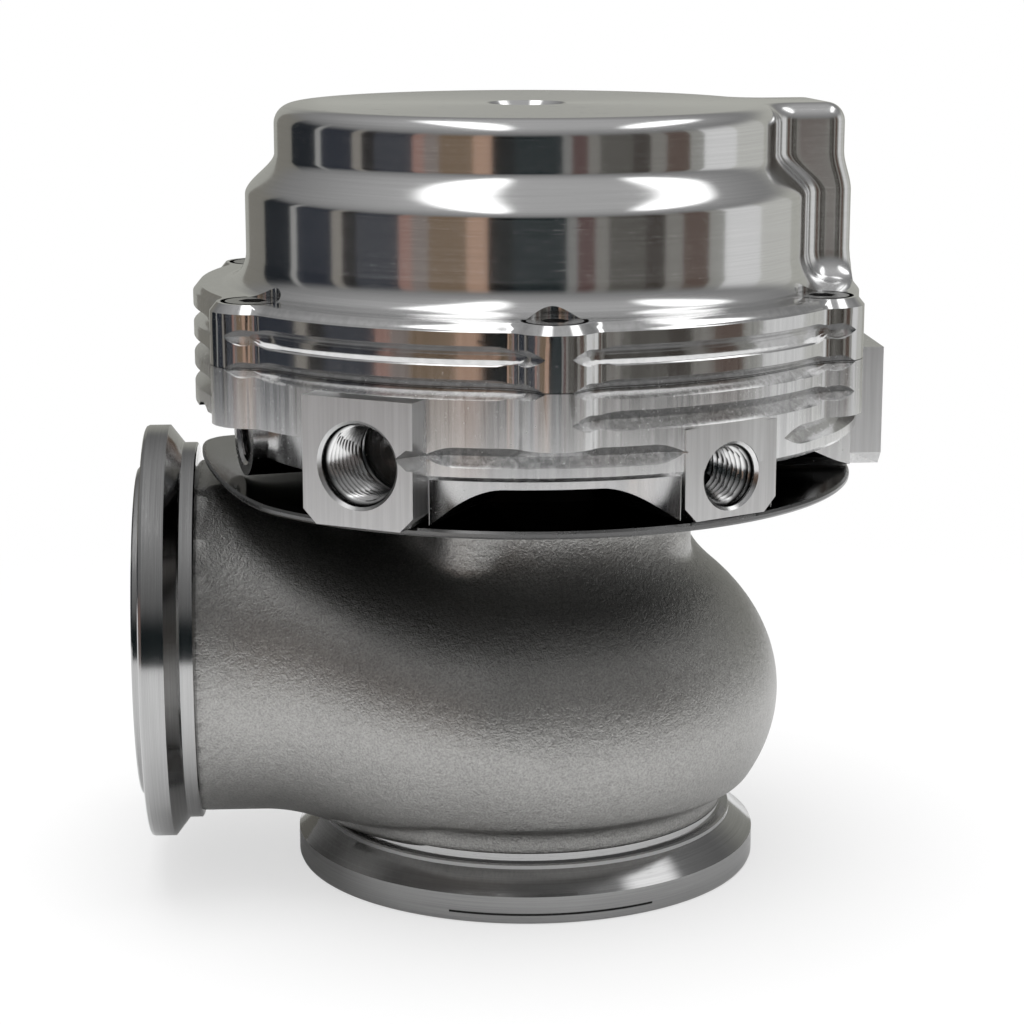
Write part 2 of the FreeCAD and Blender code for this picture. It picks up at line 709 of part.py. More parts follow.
# ---- screws ----
def socket_screw(at, seat_z, shank_r, head_r, head_h, length):
    """Cap screw with a hexagon socket, head up."""
    head = disc(head_r, seat_z, seat_z + head_h)
    shank = disc(shank_r, seat_z - length, seat_z)
    socket = hex_prism(head_r * HEX_SOCKET_SHARE, seat_z + head_h / 2, seat_z + head_h + OVERCUT)
    screw = head.fuse(shank).cut(socket)
    screw.translate(V(at.x, at.y, 0))
    return screw


def body_screw_spots():
    pitch = 360.0 / BODY_SCREW_COUNT
    return [clock(BODY_SCREW_CLOCK + i * pitch, BODY_SCREW_CIRCLE_R) for i in range(BODY_SCREW_COUNT)]


def body_screws():
    seat = BODY_SCREW_SEAT_Z + WASHER_T
    size = (BODY_SCREW_R, BODY_SCREW_HEAD_R, BODY_SCREW_HEAD_H, seat - BODY_TOP_Z + BODY_SCREW_BITE)
    return Part.makeCompound([socket_screw(at, seat, *size) for at in body_screw_spots()])


def lock_washers():
    washers = []
    for at in body_screw_spots():
        washer = ring(WASHER_R, BODY_SCREW_R + SLIDE_GAP, BODY_SCREW_SEAT_Z, BODY_SCREW_SEAT_Z + WASHER_T)
        washer.translate(at)
        washers.append(washer)
    return Part.makeCompound(washers)


def cap_screw_spots():
    return [clock(angle, BOLT_CIRCLE_R) for angle in LOBE_CLOCKS]


def cap_screws():
    size = (CAP_SCREW_R, CAP_SCREW_HEAD_R, CAP_SCREW_HEAD_H, CAP_SCREW_SEAT_Z - SPLIT_Z + CAP_SCREW_BITE)
    return Part.makeCompound([socket_screw(at, CAP_SCREW_SEAT_Z, *size) for at in cap_screw_spots()])


# ---- actuator base ----
def port_tools(angle, face, z, hole_r, depth, feed_r, feed_to):
    """Threaded hole, its mouth chamfer, the fitting's way in and the smaller feed drilling behind it."""
    mouth_r = hole_r + PORT_CHAMFER
    mouth = Part.makeCone(
        hole_r, mouth_r, PORT_CHAMFER, clock(angle, face - PORT_CHAMFER, z), clock(angle, 1.0)
    )
    return [
        radial(angle, hole_r, face - depth, face, z),
        mouth,
        radial(angle, mouth_r, face, max(face, WALL_R) + OVERCUT, z),
        radial(angle, feed_r, feed_to, face - depth + OVERCUT, z),
    ]


def port_block(angle, half, face, top):
    """Port block down to just above the shield, its two bottom corners bevelled on the face side."""
    low = SHIELD_TOP_Z + BLOCK_GAP
    block = clocked_box(angle, half, BLOCK_ROOT_R, face, low, top)
    side = clock(angle + 90, 1.0)
    corners = []
    for edge in block.Edges:
        at = edge.CenterOfMass
        if abs(at.z - low) < PRESS_GAP and abs(abs(at.dot(side)) - half) < PRESS_GAP:
            corners.append(edge)
    return block.makeChamfer(BLOCK_CORNER, corners)


def block_arches(angle, half):
    """Corners between a port block's sides and the hub: hollow in plan, tangent to both, with an underside
    that comes down to the block in part of a wide arc."""
    drop = ARCH_R - math.sqrt(ARCH_R**2 - ARCH_REACH**2)
    reach = math.sqrt((HUB_R + CORNER_R) ** 2 - (half + CORNER_R) ** 2)
    span = HUB_R * (half + CORNER_R) / (HUB_R + CORNER_R) - half
    low = HUB_Z - drop
    high = SPLIT_Z - LOBE_DEPTH + OVERCUT
    arches = []
    for side in (-1, 1):
        near, far = sorted((side * half, side * (half + span)))
        corner = Part.makeBox(far - near, reach, high - low, V(near, -reach, low))
        plan = Part.makeCylinder(CORNER_R, high - low, V(side * (half + CORNER_R), -reach, low))
        centre = V(side * (half + ARCH_REACH), 0, HUB_Z - ARCH_R)
        under = Part.makeCylinder(ARCH_R, HUB_R + CORNER_R, centre, V(0, -1, 0))
        arch = corner.cut(plan).cut(under)
        edge = side * (half + ARCH_REACH)
        beyond = Part.makeBox(span, reach, drop, V(min(edge, edge + side * span), -reach, low))
        arch = arch.cut(beyond)
        arch.rotate(V(0, 0, 0), V(0, 0, 1), angle)
        arches.append(arch.common(disc(WALL_R - SKIRT_CHAMFER, low, high)))
    return arches


def base_solid():
    """Finned wall, hub, pad, water boss and the three port blocks, before anything is drilled."""
    skirt = turned([
        (0, SKIRT_Z), (WALL_R - SKIRT_CHAMFER, SKIRT_Z), (WALL_R, SKIRT_Z + SKIRT_CHAMFER),
        (WALL_R, SPLIT_Z), (0, SPLIT_Z),
    ])
    shapes = [
        fused([lobed_plate(SPLIT_Z - LOBE_DEPTH, SPLIT_Z), skirt]).cut(left_pocket()),
        disc(HUB_R, HUB_Z, SPLIT_Z),
        disc(PAD_R, SHIELD_TOP_Z, SPLIT_Z),
        radial(SIDE_WATER_CLOCK, SIDE_WATER_BOSS_R, PAD_R, SIDE_WATER_FACE, SIDE_WATER_Z),
    ]
    for angle, half, face, top in (
        (FRONT_AIR_CLOCK, AIR_BLOCK_HALF, AIR_BLOCK_FACE, AIR_BLOCK_TOP),
        (REAR_AIR_CLOCK, AIR_BLOCK_HALF, AIR_BLOCK_FACE, AIR_BLOCK_TOP),
        (FRONT_WATER_CLOCK, WATER_BLOCK_HALF, WATER_BLOCK_FACE, WATER_BLOCK_TOP),
    ):
        shapes.append(port_block(angle, half, face, top))
        shapes += block_arches(angle, half)
    return fused(shapes)


def left_pocket():
    """Room cut out of the skirt round the side water port."""
    start, end = POCKET_CLOCK
    inner = HUB_R - OVERCUT
    outer = WALL_R + OVERCUT
    top = SPLIT_Z - LOBE_DEPTH
    outline = [(inner, SKIRT_Z - OVERCUT), (outer, SKIRT_Z - OVERCUT), (outer, top), (inner, top)]
    wire = Part.makePolygon([V(0, -r, z) for r, z in outline + outline[:1]])
    sector = Part.Face(wire).revolve(V(0, 0, 0), V(0, 0, 1), end - start)
    sector.rotate(V(0, 0, 0), V(0, 0, 1), start)
    return sector


def lower_chamber():
    """Air chamber under the diaphragm, with the step that its flange lies on."""
    clamp_z = SPLIT_Z - DIAPHRAGM_T
    step_r = DIAPHRAGM_R + SLIDE_GAP
    return turned([
        (0, LOWER_FLOOR_Z), (LOWER_CHAMBER_R, LOWER_FLOOR_Z), (LOWER_CHAMBER_R, clamp_z),
        (step_r, clamp_z), (step_r, SPLIT_Z + OVERCUT), (0, SPLIT_Z + OVERCUT),
    ])


def rod_bore():
    """Stepped bore for the rod bushing, its seal and the clip that holds them."""
    clip_z = BUSHING_Z0 + BUSHING_H + ROD_SEAL_H
    below = SHIELD_TOP_Z - OVERCUT
    above = LOWER_FLOOR_Z + OVERCUT
    throat = BUSHING_R - BUSHING_LEDGE
    bore = BUSHING_R + PRESS_GAP
    groove = BUSHING_R + CLIP_DEPTH + SLIDE_GAP
    return turned([
        (0, below), (throat, below), (throat, BUSHING_Z0), (bore, BUSHING_Z0), (bore, clip_z),
        (groove, clip_z), (groove, clip_z + CLIP_T), (bore, clip_z + CLIP_T), (bore, above), (0, above),
    ])


def base_port_tools():
    """Port holes with the drillings that lead to the air chamber and to the water gallery."""
    air_feed_at = LOWER_CHAMBER_R - AIR_FEED_R - AIR_FEED_INSET
    tools = []
    air = (AIR_PORT_R, AIR_PORT_DEPTH, AIR_FEED_R, air_feed_at)
    for angle in (FRONT_AIR_CLOCK, REAR_AIR_CLOCK):
        tools += port_tools(angle, AIR_BLOCK_FACE, AIR_PORT_Z, *air)
        tools.append(disc(AIR_FEED_R, AIR_PORT_Z, LOWER_FLOOR_Z + OVERCUT, clock(angle, air_feed_at)))
    water = (WATER_PORT_R, WATER_PORT_DEPTH, WATER_FEED_R, (GALLERY_R0 + GALLERY_R1) / 2)
    tools += port_tools(FRONT_WATER_CLOCK, WATER_BLOCK_FACE, FRONT_WATER_Z, *water)
    tools += port_tools(SIDE_WATER_CLOCK, SIDE_WATER_FACE, SIDE_WATER_Z, *water)
    return tools


def base_screw_tools():
    """Holes for the body screws with pockets for their heads, and tapped holes for the cap screws."""
    tools = []
    for at in body_screw_spots():
        tools.append(disc(BODY_SCREW_R + SCREW_HOLE_GAP, SHIELD_TOP_Z - OVERCUT, LOWER_FLOOR_Z, at))
        tools.append(disc(WASHER_R + HEAD_HOLE_GAP, BODY_SCREW_SEAT_Z, LOWER_FLOOR_Z + OVERCUT, at))
    tap_end = SPLIT_Z - CAP_SCREW_BITE - BORE_END_GAP
    for at in cap_screw_spots():
        tools.append(disc(CAP_SCREW_R + THREAD_GAP, tap_end, SPLIT_Z + OVERCUT, at))
    return tools


def base_grooves():
    """Grooves below the split: the second row all round, the third and fourth broken by the ports."""
    tools = groove_tools(GROOVE_Z[1]) + groove_tools(GROOVE_Z[2], skipped=(5,))
    tools += groove_tools(GROOVE_Z[3], skipped=(0, 1, 4, 5))
    for start, end in SHORT_GROOVES:
        tools += groove_tool(GROOVE_Z[3], start, end)
    return tools


def lower_housing():
    gallery = ring(GALLERY_R1, GALLERY_R0, GALLERY_Z0, GALLERY_Z0 + GALLERY_H)
    tools = [lower_chamber(), rod_bore(), gallery]
    return machined(base_solid(), tools + base_screw_tools() + base_port_tools() + base_grooves())


def rod_bushing():
    return ring(BUSHING_R, STEM_R + RUNNING_GAP, BUSHING_Z0, BUSHING_Z0 + BUSHING_H)


def rod_seal():
    """Lip seal with a groove turned in its top face."""
    z0 = BUSHING_Z0 + BUSHING_H
    z1 = z0 + ROD_SEAL_H
    inner = STEM_R + RUNNING_GAP
    floor = z1 - SEAL_LIP
    groove_in = inner + SEAL_LIP
    groove_out = BUSHING_R - SEAL_LIP
    return turned([
        (inner, z0), (BUSHING_R, z0), (BUSHING_R, z1), (groove_out, z1), (groove_out, floor),
        (groove_in, floor), (groove_in, z1), (inner, z1),
    ])


def seal_clip():
    """Internal retaining ring with a gap between its ends."""
    z0 = BUSHING_Z0 + BUSHING_H + ROD_SEAL_H
    z1 = z0 + CLIP_T
    outer = BUSHING_R + CLIP_DEPTH
    opening = clocked_box(0, CLIP_OPENING / 2, 0, outer + OVERCUT, z0 - OVERCUT, z1 + OVERCUT)
    return machined(ring(outer, outer - CLIP_WIDTH, z0, z1), [opening])


# ---- cap ----
def rounded_stack(section, z0, radius):
    """Sections that round an edge inwards over a quarter circle."""
    wires = []
    for i in range(LOFT_STEPS + 1):
        a = math.pi / 2 * i / LOFT_STEPS
        wires.append(section(z0 + radius * math.sin(a), radius * (math.cos(a) - 1)))
    return Part.makeLoft(wires, True, False)


def base_blend():
    """Concave blend from the flange up into the dome, cut off at the flange's own outline."""
    wires = []
    for i in range(LOFT_STEPS + 1):
        a = math.pi / 2 * i / LOFT_STEPS
        grow = DOME_BASE_BLEND * (1 - math.sin(a))
        wires.append(dome_section(FLANGE_TOP_Z + DOME_BASE_BLEND * (1 - math.cos(a)), grow))
    blend = Part.makeLoft(wires, True, False)
    return blend.common(lobed_plate(FLANGE_TOP_Z - OVERCUT, FLANGE_TOP_Z + DOME_BASE_BLEND + OVERCUT))


def dome_step():
    """S-shaped step between the dome's two diameters."""
    wires = []
    count = 2 * LOFT_STEPS
    for i in range(count + 1):
        share = i / count
        wires.append(step_section(DOME_STEP_Z + STEP_H * share, share * share * (3 - 2 * share)))
    return Part.makeLoft(wires, True, False)


def cap_flange():
    """Lobed flange with the tops of its lobes bevelled by a cone."""
    tip = BOLT_CIRCLE_R + LOBE_R
    outer = tip + OVERCUT
    cone = turned([
        (0, SPLIT_Z), (outer, SPLIT_Z), (outer, FLANGE_TOP_Z - LOBE_CHAMFER - OVERCUT),
        (tip - LOBE_CHAMFER, FLANGE_TOP_Z), (0, FLANGE_TOP_Z),
    ])
    return lobed_plate(SPLIT_Z, FLANGE_TOP_Z).common(cone)


def cap_solid():
    dome_z = FLANGE_TOP_Z + DOME_BASE_BLEND
    crown_z = DOME_STEP_Z + STEP_H
    round_z = CAP_TOP_Z - CROWN_ROUND
    bands = [
        cap_flange(),
        base_blend(),
        Part.Face(dome_section(dome_z)).extrude(V(0, 0, DOME_STEP_Z - dome_z)),
        dome_step(),
        Part.Face(crown_section(crown_z)).extrude(V(0, 0, round_z - crown_z)),
        rounded_stack(crown_section, round_z, CROWN_ROUND),
    ]
    return fused(bands)


def cap_hollow():
    """Spring chamber, open at the split, with the lift stop left standing under its roof."""
    dome_in = DOME_R - CAP_WALL
    crown_in = CROWN_R - CAP_WALL
    roof = CAP_TOP_Z - CAP_WALL
    below = SPLIT_Z - OVERCUT
    return turned([
        (0, below), (dome_in, below), (dome_in, DOME_STEP_Z), (crown_in, DOME_STEP_Z + STEP_H - CAP_WALL),
        (crown_in, roof - PLATE_BEVEL), (crown_in - PLATE_BEVEL, roof), (STOP_BOSS_R, roof),
        (STOP_BOSS_R, STOP_Z), (0, STOP_Z),
    ])


def top_recess():
    """Shallow bevelled recess in the middle of the cap's top face."""
    floor = CAP_TOP_Z - TOP_RECESS_DEPTH
    mouth = TOP_RECESS_R + TOP_RECESS_CHAMFER
    above = CAP_TOP_Z + OVERCUT
    return turned([
        (0, floor), (TOP_RECESS_R, floor), (TOP_RECESS_R, CAP_TOP_Z - TOP_RECESS_CHAMFER), (mouth, CAP_TOP_Z),
        (mouth, above), (0, above),
    ])


def ear_port_tools():
    """Air port through the ear into the spring chamber, with a spot face round its mouth."""
    face = EAR_CROWN_REACH - SPOT_FACE_DEPTH
    spot = radial(EAR_CLOCK, EAR_SPOT_FACE_R, face, EAR_REACH + OVERCUT, EAR_PORT_Z)
    inside = DOME_R - CAP_WALL - AIR_FEED_R
    return [spot] + port_tools(EAR_CLOCK, face, EAR_PORT_Z, AIR_PORT_R, EAR_PORT_DEPTH, AIR_FEED_R, inside)


def cap():
    tools = [cap_hollow(), top_recess()] + ear_port_tools()
    for at in cap_screw_spots():
        tools.append(disc(CAP_COUNTERBORE_R, CAP_SCREW_SEAT_Z, DOME_STEP_Z, at))
        tools.append(disc(CAP_SCREW_R + SCREW_HOLE_GAP, SPLIT_Z - OVERCUT, CAP_SCREW_SEAT_Z + OVERCUT, at))
    return machined(cap_solid(), tools + groove_tools(GROOVE_Z[0]) + groove_tools(GROOVE_Z[1]))


def main():
    nodes = {
        "valve_body": valve_body,
        "valve_seat": valve_seat,
        "valve_guide": valve_guide,
        "heat_shield": heat_shield,
        "lower_housing": lower_housing,
        "rod_bushing": rod_bushing,
        "rod_seal": rod_seal,
        "seal_clip": seal_clip,
        "body_screws": body_screws,
        "lock_washers": lock_washers,
        "cap": cap,
        "cap_screws": cap_screws,
        "valve": valve,
        "diaphragm_plate": diaphragm_plate,
        "diaphragm": diaphragm,
        "piston": piston,
        "stem_washer": stem_washer,
        "stem_nut": stem_nut,
    }
    shapes = {name: make() for name, make in nodes.items()}
    for name, (mean_r, wire_r, turns) in SPRINGS.items():
        shapes[name] = coil_spring(mean_r, wire_r, turns)
    os.makedirs("parts", exist_ok=True)
    for name, shape in shapes.items():
        shape.exportStep("parts/%s.step" % name)
        box = shape.BoundBox
        print("%-16s solids %d valid %s volume %9.1f box %.1f..%.1f %.1f..%.1f %.1f..%.1f" % (
            name, len(shape.Solids), shape.isValid(), shape.Volume,
            box.XMin, box.XMax, box.YMin, box.YMax, box.ZMin, box.ZMax))


main()
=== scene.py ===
import json
import math

import bpy
import numpy as np
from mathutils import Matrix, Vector


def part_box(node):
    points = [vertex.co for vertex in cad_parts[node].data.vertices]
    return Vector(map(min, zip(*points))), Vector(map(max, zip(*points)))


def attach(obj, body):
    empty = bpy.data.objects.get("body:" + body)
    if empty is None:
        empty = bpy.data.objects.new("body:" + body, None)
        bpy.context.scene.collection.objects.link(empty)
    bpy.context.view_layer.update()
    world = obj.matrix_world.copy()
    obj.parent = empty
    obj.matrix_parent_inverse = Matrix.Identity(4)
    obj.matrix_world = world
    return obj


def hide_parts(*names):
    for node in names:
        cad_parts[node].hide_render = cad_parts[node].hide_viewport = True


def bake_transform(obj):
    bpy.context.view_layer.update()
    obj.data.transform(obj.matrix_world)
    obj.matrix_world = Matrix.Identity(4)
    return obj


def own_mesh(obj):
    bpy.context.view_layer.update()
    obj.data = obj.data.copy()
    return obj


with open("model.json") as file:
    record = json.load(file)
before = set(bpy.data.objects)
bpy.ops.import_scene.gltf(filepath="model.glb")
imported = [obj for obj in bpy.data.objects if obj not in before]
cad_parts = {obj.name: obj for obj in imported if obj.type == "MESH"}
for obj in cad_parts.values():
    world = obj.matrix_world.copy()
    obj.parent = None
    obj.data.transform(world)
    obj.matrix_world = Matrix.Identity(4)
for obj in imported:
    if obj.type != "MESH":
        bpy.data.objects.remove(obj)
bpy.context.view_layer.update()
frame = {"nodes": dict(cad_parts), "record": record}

MM = 0.001
TAU = 2 * math.pi

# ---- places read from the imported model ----
CASTING_LOW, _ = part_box("valve_body")
SHIELD_LOW, SHIELD_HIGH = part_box("heat_shield")
CAP_LOW, CAP_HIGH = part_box("cap")
MOUNTS = {mount["name"]: mount for mount in frame["record"]["mounts"]}

# ---- camera ----
CAMERA_AT = (-0.0293, -0.3520, 0.1252)
CAMERA_AIM = (-0.0020, -0.0013, 0.0486)
CAMERA_LENS = 91.6


# ---- meshes ----
def add_piece(name, points, faces):
    """Mesh object at the origin from an array of points in metres and a list of faces."""
    mesh = bpy.data.meshes.new(name)
    mesh.from_pydata(points.reshape(-1, 3).tolist(), [], faces)
    mesh.validate()
    piece = bpy.data.objects.new(name, mesh)
    bpy.context.scene.collection.objects.link(piece)
    return piece


def skin(name, rings, loop=False):
    """Closed solid through a stack of closed rings, shape (rings, points, 3), each ring counter-clockwise
    about the direction in which the stack runs. The ends are one flat face each, or with loop=True the last
    ring joins the first."""
    count, size, _ = rings.shape
    rows = np.arange(count if loop else count - 1)[:, None]
    cols = np.arange(size)[None, :]
    here = rows * size
    above = ((rows + 1) % count) * size
    right = (cols + 1) % size
    quads = np.stack([here + cols, here + right, above + right, above + cols], -1)
    faces = quads.reshape(-1, 4).tolist()
    if not loop:
        faces.append(list(range(size))[::-1])
        faces.append([(count - 1) * size + i for i in range(size)])
    return add_piece(name, rings, faces)


def turned_rings(profile, steps, axis="z", centre=(0, 0, 0)):
    """Rings of a turned profile of (radius, height) pairs: radius times the cosine and sine of the turn,
    height along the axis."""
    radius, height = np.asarray(profile, float).T[:, :, None]
    turn = np.arange(steps)[None, :] * TAU / steps
    across, along = radius * np.cos(turn), radius * np.sin(turn)
    height = height + 0 * turn
    order = {"z": (across, along, height), "x": (height, across, along)}[axis]
    return np.stack(order, -1) + np.array(centre)


def turned(name, profile, steps, axis="z", centre=(0, 0, 0), loop=False):
    """Solid of a turned profile; with loop=True the profile is a closed section."""
    return skin(name, turned_rings(profile, steps, axis, centre), loop)


def cylinder_along(name, start, direction, radius, length, steps=96):
    """Cylinder from a start point along any direction: two circles in the plane square to it."""
    z = Vector(direction).normalized()
    x = z.orthogonal().normalized()
    y = z.cross(x)
    turn = np.arange(steps) * TAU / steps
    circle = radius * (np.cos(turn)[:, None] * np.array(x) + np.sin(turn)[:, None] * np.array(y))
    start = np.array(start)
    rings = np.stack([start + circle, start + circle + length * np.array(z)])
    return skin(name, rings)


def settle(piece, angle=24.0):
    """Applies the modifiers, drops copied normals and smooths all but the edges sharper than an angle."""
    graph = bpy.context.evaluated_depsgraph_get()
    mesh = bpy.data.meshes.new_from_object(piece.evaluated_get(graph))
    piece.modifiers.clear()
    piece.data = mesh
    mesh.materials.clear()
    if "custom_normal" in mesh.attributes:
        mesh.attributes.remove(mesh.attributes["custom_normal"])
    mesh.polygons.foreach_set("use_smooth", np.ones(len(mesh.polygons), bool))
    mesh.set_sharp_from_angle(angle=math.radians(angle))
    mesh.update()
    return piece


def combine(piece, tools, operation):
    """Boolean of a solid with each tool in turn; the tools are used up."""
    for tool in tools:
        modifier = piece.modifiers.new("cut", "BOOLEAN")
        modifier.operation = operation
        modifier.solver = "MANIFOLD"
        modifier.object = tool
    settle(piece)
    for tool in tools:
        bpy.data.objects.remove(tool)


def copy_of_node(node, name):
    """A merged copy of a CAD node's mesh as a new piece."""
    piece = bpy.data.objects.new(name, frame["nodes"][node].data.copy())
    bpy.context.scene.collection.objects.link(piece)
    weld = piece.modifiers.new("weld", "WELD")
    weld.merge_threshold = 1e-6
    return settle(piece)


def box_between(name, low, high):
    """Box from its lowest and highest corners."""
    (x0, y0, z0), (x1, y1, z1) = low, high
    corners = np.array([[x0, y0], [x1, y0], [x1, y1], [x0, y1]])
    rings = np.stack([np.column_stack([corners, np.full(4, z)]) for z in (z0, z1)])
    return skin(name, rings)


# ---- shader maths ----
class Value:
    """A shader socket that holds a number. Arithmetic on it adds Math nodes."""

    def __init__(self, shade, socket):
        self.shade = shade
        self.socket = socket

    def __add__(self, other):
        return self.shade.math("ADD", self, other)

    __radd__ = __add__

    def __mul__(self, other):
        return self.shade.math("MULTIPLY", self, other)

    __rmul__ = __mul__

    def __sub__(self, other):
        return self.shade.math("SUBTRACT", self, other)

    def __rsub__(self, other):
        return self.shade.math("SUBTRACT", other, self)

    def __truediv__(self, other):
        return self.shade.math("DIVIDE", self, other)

    def __pow__(self, other):
        return self.shade.math("POWER", self, other)

    def above(self, other):
        """1 where the value is greater, 0 elsewhere."""
        return self.shade.math("GREATER_THAN", self, other)

    def between(self, low, high):
        """1 between two limits, 0 elsewhere."""
        return self.above(low) * (1 - self.above(high))

    def ramp(self, low, high, low_out=0.0, high_out=1.0):
        """Smooth step from low_out to high_out as the value runs from low to high."""
        settings = {"interpolation_type": "SMOOTHSTEP"}
        inputs = {"Value": self, "From Min": low, "From Max": high, "To Min": low_out, "To Max": high_out}
        return self.shade.value("ShaderNodeMapRange", settings, inputs, "Result")


class Shade:
    """One node tree, with a single method that makes every node."""

    def __init__(self, tree):
        self.tree = tree
        tree.nodes.clear()

    def node(self, kind, settings=None, inputs=None):
        """New node with its settings first, then each input linked or given its number."""
        made = self.tree.nodes.new(kind)
        for name, setting in (settings or {}).items():
            if name == "stops":
                self.set_stops(made.color_ramp, setting)
            else:
                setattr(made, name, setting)
        for name, given in (inputs or {}).items():
            socket = made.inputs[name]
            if isinstance(given, Value):
                self.tree.links.new(given.socket, socket)
            elif isinstance(given, bpy.types.NodeSocket):
                self.tree.links.new(given, socket)
            else:
                socket.default_value = given
        return made

    @staticmethod
    def set_stops(ramp, stops):
        """Flat bands of colour, each from its place up to the next."""
        ramp.interpolation = "CONSTANT"
        while len(ramp.elements) > 1:
            ramp.elements.remove(ramp.elements[-1])
        for i, (place, colour) in enumerate(stops):
            stop = ramp.elements[0] if i == 0 else ramp.elements.new(place)
            stop.position = place
            stop.color = colour

    def value(self, kind, settings, inputs, output):
        """New node's output as a Value."""
        return Value(self, self.node(kind, settings, inputs).outputs[output])

    def math(self, operation, first, second=0.0):
        """Math node on one or two values."""
        return self.value("ShaderNodeMath", {"operation": operation}, {0: first, 1: second}, "Value")

    def mixed(self, factor, low, high):
        """Colour between two colours."""
        made = self.node("ShaderNodeMix", {"data_type": "RGBA"}, {"Factor": factor, 6: low, 7: high})
        return made.outputs[2]

    def coordinates(self):
        """Object coordinates as three values."""
        place = self.node("ShaderNodeTexCoord").outputs["Object"]
        split = self.node("ShaderNodeSeparateXYZ", inputs={"Vector": place})
        return [Value(self, split.outputs[axis]) for axis in "XYZ"]

    def vector(self, x, y, z):
        """Three values as one vector."""
        return self.node("ShaderNodeCombineXYZ", inputs={"X": x, "Y": y, "Z": z}).outputs[0]

    def reach(self, x, y):
        """Distance from the valve's axis: the root of x squared plus y squared."""
        return self.math("SQRT", x * x + y * y)

    def noise(self, vector, scale, detail=2.0, roughness=0.5):
        """Noise about a half, finer as its scale grows."""
        inputs = {"Vector": vector, "Scale": scale, "Detail": detail, "Roughness": roughness}
        return self.value("ShaderNodeTexNoise", None, inputs, "Fac")

    def bump(self, height, distance, strength=1.0):
        """Normal tilted by the slope of a height."""
        inputs = {"Height": height, "Distance": distance, "Strength": strength}
        return self.node("ShaderNodeBump", None, inputs).outputs["Normal"]


# ---- finishes ----
# Lathe rings: how fast the noise changes round the piece and along its axis.
RING_DRIFT = 0.35
RING_STRETCH = 60
TOOL_LINE_Z = (1.25 * MM, 1.55 * MM)
TOOL_LINE_X = (-12.5 * MM, 14.5 * MM)
RIPPLE_PITCH = 1.05 * MM
HAIRLINE_HALF = 0.04 * MM
HAIRLINE_FADE = 0.1 * MM
HAIRLINE_SHARE = 0.75
PALE_RIM = 0.5 * MM
CAST_TINT = (1.0, 0.99, 0.965)
BRONZE_TINT = (1.0, 0.72, 0.4)


def grey(level, tint=(1.0, 1.0, 1.0)):
    """Linear colour of a display level from 0 to 255."""
    linear = (level / 255.0) ** 2.2
    return (linear * tint[0], linear * tint[1], linear * tint[2], 1.0)


def display_rgb(colour):
    """Linear colour of three display levels from 0 to 255."""
    return tuple((level / 255.0) ** 2.2 for level in colour) + (1.0,)


def finish(shade, colour, metallic, roughness, normal, fixed=None):
    """Material whose shader takes the given links, with every other number set on its own socket."""
    inputs = {"Base Color": colour, "Roughness": roughness, "Metallic": metallic, "Normal": normal}
    shader = shade.node("ShaderNodeBsdfPrincipled", None, inputs | (fixed or {}))
    output = shade.node("ShaderNodeOutputMaterial", None, {"Surface": shader.outputs[0]})
    shade.tree.nodes.active = output
    return shade.material


def new_shade(name):
    """Empty node tree of a new material."""
    material = bpy.data.materials.new(name)
    material.use_nodes = True
    shade = Shade(material.node_tree)
    shade.material = material
    return shade


def turned_metal(name, light, dark, roughness, pitch, axis="Z", spread=0.6, mark=False):
    """Metal turned on a lathe: fine rings along one axis, drifting a little round the piece, which vary the
    roughness, the colour and a shallow bump. A mark is the dark tool line low on the front of the rim."""
    shade = new_shade(name)
    x, y, z = shade.coordinates()
    if axis == "X":
        along, place = x, shade.vector(x * RING_STRETCH, y * RING_DRIFT, z * RING_DRIFT)
    else:
        along, place = z, shade.vector(x * RING_DRIFT, y * RING_DRIFT, z * RING_STRETCH)
    fine = shade.noise(place, pitch, 3.0, 0.6)
    broad = shade.noise(shade.vector(x, y, z), 60.0, 2.0)
    scratch = shade.noise(shade.vector(x * 0.6, y * 0.6, along * 12), 900.0, 1.0).ramp(0.66, 0.74)
    tone = fine.ramp(0.3, 0.7) * 0.6 + broad * 0.4
    colour = shade.mixed(tone, dark, light)
    if mark:
        tool_line = z.between(*TOOL_LINE_Z) * x.between(*TOOL_LINE_X) * (1 - y.above(0.0))
        colour = shade.mixed(tool_line, colour, grey(45))
    rough = roughness * (0.7 + 0.5 * fine + 0.25 * broad) + 0.08 * scratch
    normal = shade.bump(fine + 0.5 * scratch, 1.5e-6, 0.6)
    fixed = {"Anisotropic": spread, "Anisotropic Rotation": 0.25}
    return finish(shade, colour, 1.0, rough, normal, fixed)


